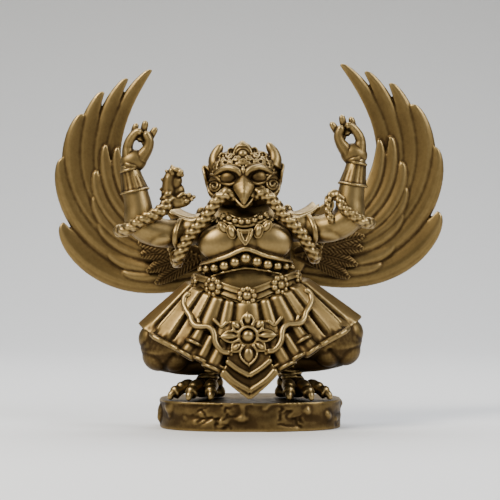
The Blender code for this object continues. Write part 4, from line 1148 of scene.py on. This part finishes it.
def makeWing(name, side):
    clay = bmesh.new()
    for k, shape in enumerate(wings["primaries"]):
        feather(clay, (9.0, 50.0 - 1.6 * k), shape, wings["widths"][k], 0.35 * k, 70)
    for k, shape in enumerate(wings["secondaries"]):
        feather(clay, (12.0, 49.5 - 1.2 * k), shape, 6.0, 1.9 + 0.15 * k, 50, hook=0.4)
    ball(clay, (pose["seatX"] + 3.5, pose["seatY"] + 3.8, pose["seatZ"] - 2.0), (7.5, 2.8, 8.0),
         (0, -20, 0))
    count = len(clay.verts)
    for k, shape in enumerate(wings["scapulars"]):
        feather(clay, (6.0, 51.0 - 2.0 * k), shape, 6.4, -1.0, 24, 0.35, hook=0.2)
    clay.verts.ensure_lookup_table()
    for vert in clay.verts[count:]:
        vert.co.y = 2 * wingDepth(vert.co.x, vert.co.z) + 1.6 - vert.co.y
    seatDisc(clay, 1, pose["seatY"] + 4.0, pose["seatY"] + 0.5)
    for vert in clay.verts:
        vert.co.y = max(vert.co.y, pose["seatY"] + 0.35)
        vert.co.x = vert.co.x * side + pose["wingShift"]
        vert.co.z = wings["foot"] + (vert.co.z - wings["foot"]) * wings["tall"]
    return castPiece(name, clay, wings)


coverts = {
    "grain": 0.22, "polish": 2,
    "barbs": {"Barb Count": 15, "Barb Length": 1.6, "Barb Radius": 0.42, "Slant": 0.75}}


def makeCoverts(name, side):
    # barbed feathers where the wing leaves the back
    clay = bmesh.new()
    for shape in wings["coverts"]:
        quill = feather(clay, (14.0, 46.0), shape, 6.2, 5.4, 30, 0.16, hook=0.0, leaf=True)
        tube(clay, quill, [0.26, 0.2, 0.15], 8)
        addMesh(clay, runTree(barbs, pathMesh([p + Vector((0, 0.1, 0)) for p in quill[4:-3]]),
                              coverts["barbs"]))
    for vert in clay.verts:
        vert.co.x = vert.co.x * side + pose["wingShift"]
    return castPiece(name, clay, coverts)


# Plinth

plinth = {"grain": 0.34, "polish": 1, "turns": 360, "levels": 26, "cracks": 0.7}


def makePlinth():
    clay = bmesh.new()
    low, high = Vector(plinthLow) * 1000, Vector(plinthHigh) * 1000
    halfX, halfY, tall = (high.x - low.x) / 2, (high.y - low.y) / 2, high.z - low.z
    centre = Vector(((high.x + low.x) / 2, (high.y + low.y) / 2, 0))
    rings = []
    for level in range(plinth["levels"] + 1):
        share = level / plinth["levels"]
        ring = []
        for k in range(plinth["turns"]):
            a = 2 * math.pi * k / plinth["turns"]
            cosine, sine = math.cos(a), math.sin(a)
            x = math.copysign(abs(cosine) ** 0.8, cosine) * halfX
            y = math.copysign(abs(sine) ** 0.8, sine) * halfY
            at = Vector((x, y, share * tall))
            edge = math.sin(math.pi * share) ** 0.6
            slope = at + Vector((5, 2, at.z * 0.8))
            broad = noise.noise(slope * 0.09) + noise.noise(slope * 0.2) * 0.4
            cells = noise.voronoi(slope * 0.13 + Vector((0.4 * noise.noise(slope * 0.3), 0,
                                                         0.5 * noise.noise(slope * 0.25))))[0]
            facet = 1 - min(1.0, (cells[1] - cells[0]) * 6)
            facet *= smoothStep(-0.05, 0.25, noise.noise(at * 0.08))
            lump = max(0.0, noise.noise(at * 0.22 + Vector((1, 8, 3))) - 0.25) * 2.4
            inward = 0.45 - (broad * 0.6 + lump) * edge + (facet ** 2) * plinth["cracks"] * edge
            if share > 0.93:
                inward = 0.3 + 0.3 * noise.noise(at * 0.3)
            flat = 1 - inward / halfY
            ring.append(centre + Vector((x * (1 - inward / halfX), y * flat, share * tall)))
        rings.append(ring)
    # the top is gently uneven, and the underside flat
    for scale in (0.93, 0.8, 0.6, 0.4, 0.2):
        ring = []
        for p in rings[plinth["levels"]]:
            q = centre + (p - centre) * scale
            q.z = tall - 0.12 - 0.35 * abs(noise.noise(q * 0.35)) * smoothStep(1.0, 0.8, scale)
            ring.append(q)
        rings.append(ring)
    closeRings(clay, rings, centre, centre + Vector((0, 0, tall - 0.3)))
    for vert in clay.verts:
        vert.co.z -= soleHeight * 1000
    return castPiece("plinthCast", clay, plinth, lean=False)


# Patina and painted light: bright where it is rubbed, brown in the hollows, with painted shade where parts
# crowd together, low down and under the skirt, and painted light on faces turned up

# the fine and broad settings give the patina of the hollows; the rest give painted shade where parts crowd
# together, painted light on faces turned up, and painted shade low down and under the skirt
patinaAndPaintedLight = {
    "cellMm": 0.9, "fineSteps": 3, "broadSteps": 14, "fine": 3.2, "broad": 1.5, "crowdShade": 0.65,
    "up": 0.1, "low": 0.3, "lowBelow": 0.036, "skirtShadow": 0.2, "skirtShadowFade": 0.006}
# height on the body below which the skirt's shadow is painted on
underSkirtShadow = {"bodyCast": 0.042}
creased = {"wingRightCast": 0.6, "wingLeftCast": 0.6, "covertsRightCast": 0.8, "covertsLeftCast": 0.8}
tone = {"wingRightCast": 0.06, "wingLeftCast": 0.06, "covertsRightCast": 0.36, "covertsLeftCast": 0.36,
        "plinthCast": -0.05, "feetCast": -0.12, "headCast": 0.09, "handsCast": 0.12, "skirtCast": 0.12}
# spots painted darker: painted shade in the eye hollows and under the beak, and a darker serpent head; each
# with its middle and reach in metres and how much darker it is
darkenedSpots = {
    "headCast": ((-0.0069, -0.0135, 0.0803, 0.003, 0.3), (0.0027, -0.0135, 0.0806, 0.003, 0.3),
                 (-0.002, -0.009, 0.0712, 0.006, 0.4)),
    "serpentCast": ((-0.0262, -0.0075, 0.0782, 0.008, 0.22),)}


def paintWearAndLight(pieces):
    cell = patinaAndPaintedLight["cellMm"] * 0.001
    gathered = []
    for piece in pieces:
        points, edges = meshArrays(piece.data)
        normals = np.empty(len(points) * 3)
        piece.data.vertex_normals.foreach_get("vector", normals)
        areas = np.empty(len(piece.data.polygons))
        piece.data.polygons.foreach_get("area", areas)
        gathered.append((piece, points, edges, normals.reshape(-1, 3), areas.sum() / len(points)))
    # the skin of every piece gathered into a blurred grid, for painted shade where parts crowd together
    corner = np.min([g[1].min(axis=0) for g in gathered], axis=0) - 8 * cell
    farCorner = np.max([g[1].max(axis=0) for g in gathered], axis=0) + 8 * cell
    shape = tuple(((farCorner - corner) / cell).astype(int) + 1)
    skin = np.zeros(shape)
    for piece, points, edges, normals, area in gathered:
        index = ((points - corner) / cell).astype(int)
        np.add.at(skin, tuple(index.T), area / cell ** 2)
    for axis in range(3):
        for _ in range(2):
            padded = np.cumsum(
                np.concatenate([np.zeros_like(np.take(skin, [0], axis))] + [skin], axis), axis)
            count = skin.shape[axis]
            upper = np.minimum(np.arange(count) + 2, count)
            lower = np.maximum(np.arange(count) - 1, 0)
            skin = (np.take(padded, upper, axis) - np.take(padded, lower, axis)) / 3
    for piece, points, edges, normals, area in gathered:
        share = edgeShare(points, edges)
        spacing = math.sqrt(area)
        soft = points
        hollow = np.zeros(len(points))
        for step in range(1, patinaAndPaintedLight["broadSteps"] + 1):
            soft = neighbourMean(soft, edges, share)
            if step == patinaAndPaintedLight["fineSteps"]:
                hollow += patinaAndPaintedLight["fine"] * np.einsum("ij,ij->i", soft - points, normals) / spacing
        hollow += patinaAndPaintedLight["broad"] * np.einsum("ij,ij->i", soft - points, normals) / spacing / 2
        hollow *= creased.get(piece.name, 1.0)
        # painted shade: darker where other skin crowds close in front of a point, as ambient occlusion
        # would shade it
        ahead = points + normals * cell * 2.2
        index = np.clip(((ahead - corner) / cell).astype(int), 0, np.array(shape) - 1)
        crowdShade = skin[tuple(index.T)]
        crowdShade = neighbourMean(crowdShade[:, None], edges, share)[:, 0]
        # brown patina in the hollows and rubbed bright edges, less the painted shade from the crowded grid
        wearAndPaintedLight = 0.54 - 0.42 * np.tanh(hollow * 0.9) - patinaAndPaintedLight["crowdShade"] * np.clip(crowdShade - 0.12, 0, 0.6)
        # painted light and shade: faces turned up are painted lighter, and everything low down darker
        # towards the bottom
        low = np.clip(1 - points[:, 2] / patinaAndPaintedLight["lowBelow"], 0, 1)
        wearAndPaintedLight += patinaAndPaintedLight["up"] * normals[:, 2] - patinaAndPaintedLight["low"] * low - tone.get(piece.name, 0.0)
        # painted shadow of the skirt on the knees and legs below its hem
        if piece.name in underSkirtShadow:
            wearAndPaintedLight -= patinaAndPaintedLight["skirtShadow"] * np.clip(
                (underSkirtShadow[piece.name] - points[:, 2]) / patinaAndPaintedLight["skirtShadowFade"], 0, 1)
        # painted shade in the darkened spots
        for x, y, z, reach, amount in darkenedSpots.get(piece.name, ()):
            wearAndPaintedLight -= amount * np.exp(-((points - np.array((x, y, z))) ** 2).sum(axis=1) / reach ** 2)
        wearAndPaintedLight = 0.5 * wearAndPaintedLight + 0.5 * neighbourMean(wearAndPaintedLight[:, None], edges, share)[:, 0]
        attribute = piece.data.attributes.new("wearAndPaintedLight", "FLOAT", "POINT")
        attribute.data.foreach_set("value", np.clip(wearAndPaintedLight, 0, 1))
        print("patina on", piece.name, "mean", round(float(wearAndPaintedLight.mean()), 3),
              "low", round(float(np.percentile(wearAndPaintedLight, 5)), 3),
              "high", round(float(np.percentile(wearAndPaintedLight, 95)), 3))


thinning = {"keep": 0.56}


def thinOut(piece):
    # fewer triangles where the skin is plain; the attribute of wear, patina and painted light is carried
    # over
    thin = piece.modifiers.new("thin", "DECIMATE")
    thin.ratio = thinning["keep"]
    fewer = evaluated(piece)
    piece.modifiers.clear()
    full, piece.data = piece.data, fewer
    bpy.data.meshes.remove(full)
    fewer.name = piece.name
    print("thinned", piece.name, sum(len(f.vertices) - 2 for f in fewer.polygons), "triangles, attributes",
          fewer.attributes.keys())


figurePieces = [makeBody(), makeHands(), makeFeet(), makeSerpent(), makeSkirt(), makeApron(), makeJewels(),
                makeCape(), makeHead()]
rightWing = [makeWing("wingRightCast", -1), makeCoverts("covertsRightCast", -1)]
leftWing = [makeWing("wingLeftCast", 1), makeCoverts("covertsLeftCast", 1)]
plinthPiece = makePlinth()
everything = figurePieces + rightWing + leftWing + [plinthPiece]
paintWearAndLight(everything)
for piece in everything:
    thinOut(piece)
    piece.data.materials.clear()
    piece.data.materials.append(brass)
    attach(piece, "root")
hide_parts("figure")
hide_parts("wing_right")
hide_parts("wing_left")
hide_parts("plinth")
print("pieces", len(everything), "triangles",
      sum(len(f.vertices) - 2 for p in everything for f in p.data.polygons))


# Floor, light and camera

studio = {
    "floorTone": "#d9d8d4", "worldTone": "#cfd8e2", "worldStrength": 0.22, "lens": 132.5,
    # metres: how far off the camera is, how high it looks, and how much above that it stands
    "reach": 0.6, "aim": 0.0574, "rise": 0.003,
    # place, size, power and tone of each soft box
    "lamps": (("keySoftbox", (-0.42, -0.36, 0.56), (0.28, 0.32), 8.0, "#fffaf2"),
              ("fillSoftbox", (0.50, -0.32, 0.44), (0.26, 0.32), 4.2, "#f6f8ff"),
              ("topSoftbox", (0.0, 0.30, 0.62), (0.80, 0.40), 6.5, "#f2f6ff"))}


def makeStage():
    # a roll of pale paper that curves up behind
    mesh = bpy.data.meshes.new("floor")
    rows = [(-9.0, 0.0)]
    for k in range(25):
        t = k / 24
        if t < 0.5:
            rows.append((-1.2 + 3.2 * t, 0.0))
        else:
            a = (t - 0.5) * math.pi
            rows.append((0.4 + 0.5 * math.sin(a), 0.5 - 0.5 * math.cos(a)))
    rows.append((0.9, 2.2))
    verts = [(x, y, z) for y, z in rows for x in (-6.0, 6.0)]
    faces = [(2 * k, 2 * k + 1, 2 * k + 3, 2 * k + 2) for k in range(len(rows) - 1)]
    mesh.from_pydata(verts, [], faces)
    mesh.polygons.foreach_set("use_smooth", np.ones(len(faces), dtype=bool))
    paper = bpy.data.materials.new("palePaper")
    paper.use_nodes = True
    shader = paper.node_tree.nodes["Principled BSDF"]
    shader.inputs["Base Color"].default_value = linear(studio["floorTone"])
    shader.inputs["Roughness"].default_value = 0.8
    mesh.materials.append(paper)
    made = stand("floor", mesh)


def addLight(name, place, size, power, tone):
    data = bpy.data.lights.new(name, "AREA")
    data.shape = "RECTANGLE"
    data.size, data.size_y = size
    data.energy = power
    data.color = linear(tone)[:3]
    lamp = stand(name, data)
    lamp.location = place
    lamp.rotation_euler = (Vector((0, 0, 0.06)) - Vector(place)).to_track_quat("-Z", "Y").to_euler()


makeStage()
for lamp in studio["lamps"]:
    addLight(*lamp)
world = bpy.data.worlds.new("studioAir")
world.use_nodes = True
air = world.node_tree.nodes["Background"]
air.inputs["Color"].default_value = linear(studio["worldTone"])
air.inputs["Strength"].default_value = studio["worldStrength"]
bpy.context.scene.world = world

camera = bpy.data.cameras.new("photoView")
camera.lens = studio["lens"]
camera.sensor_width = 36
camera.clip_start = 0.01
eye = stand("photoView", camera)
tilt = math.atan2(studio["rise"], studio["reach"])
eye.location = (0, -studio["reach"] * math.cos(tilt), studio["aim"] + studio["rise"])
eye.rotation_euler = (Vector((0, 0, studio["aim"])) - eye.location).to_track_quat("-Z", "Y").to_euler()
bpy.context.scene.camera = eye
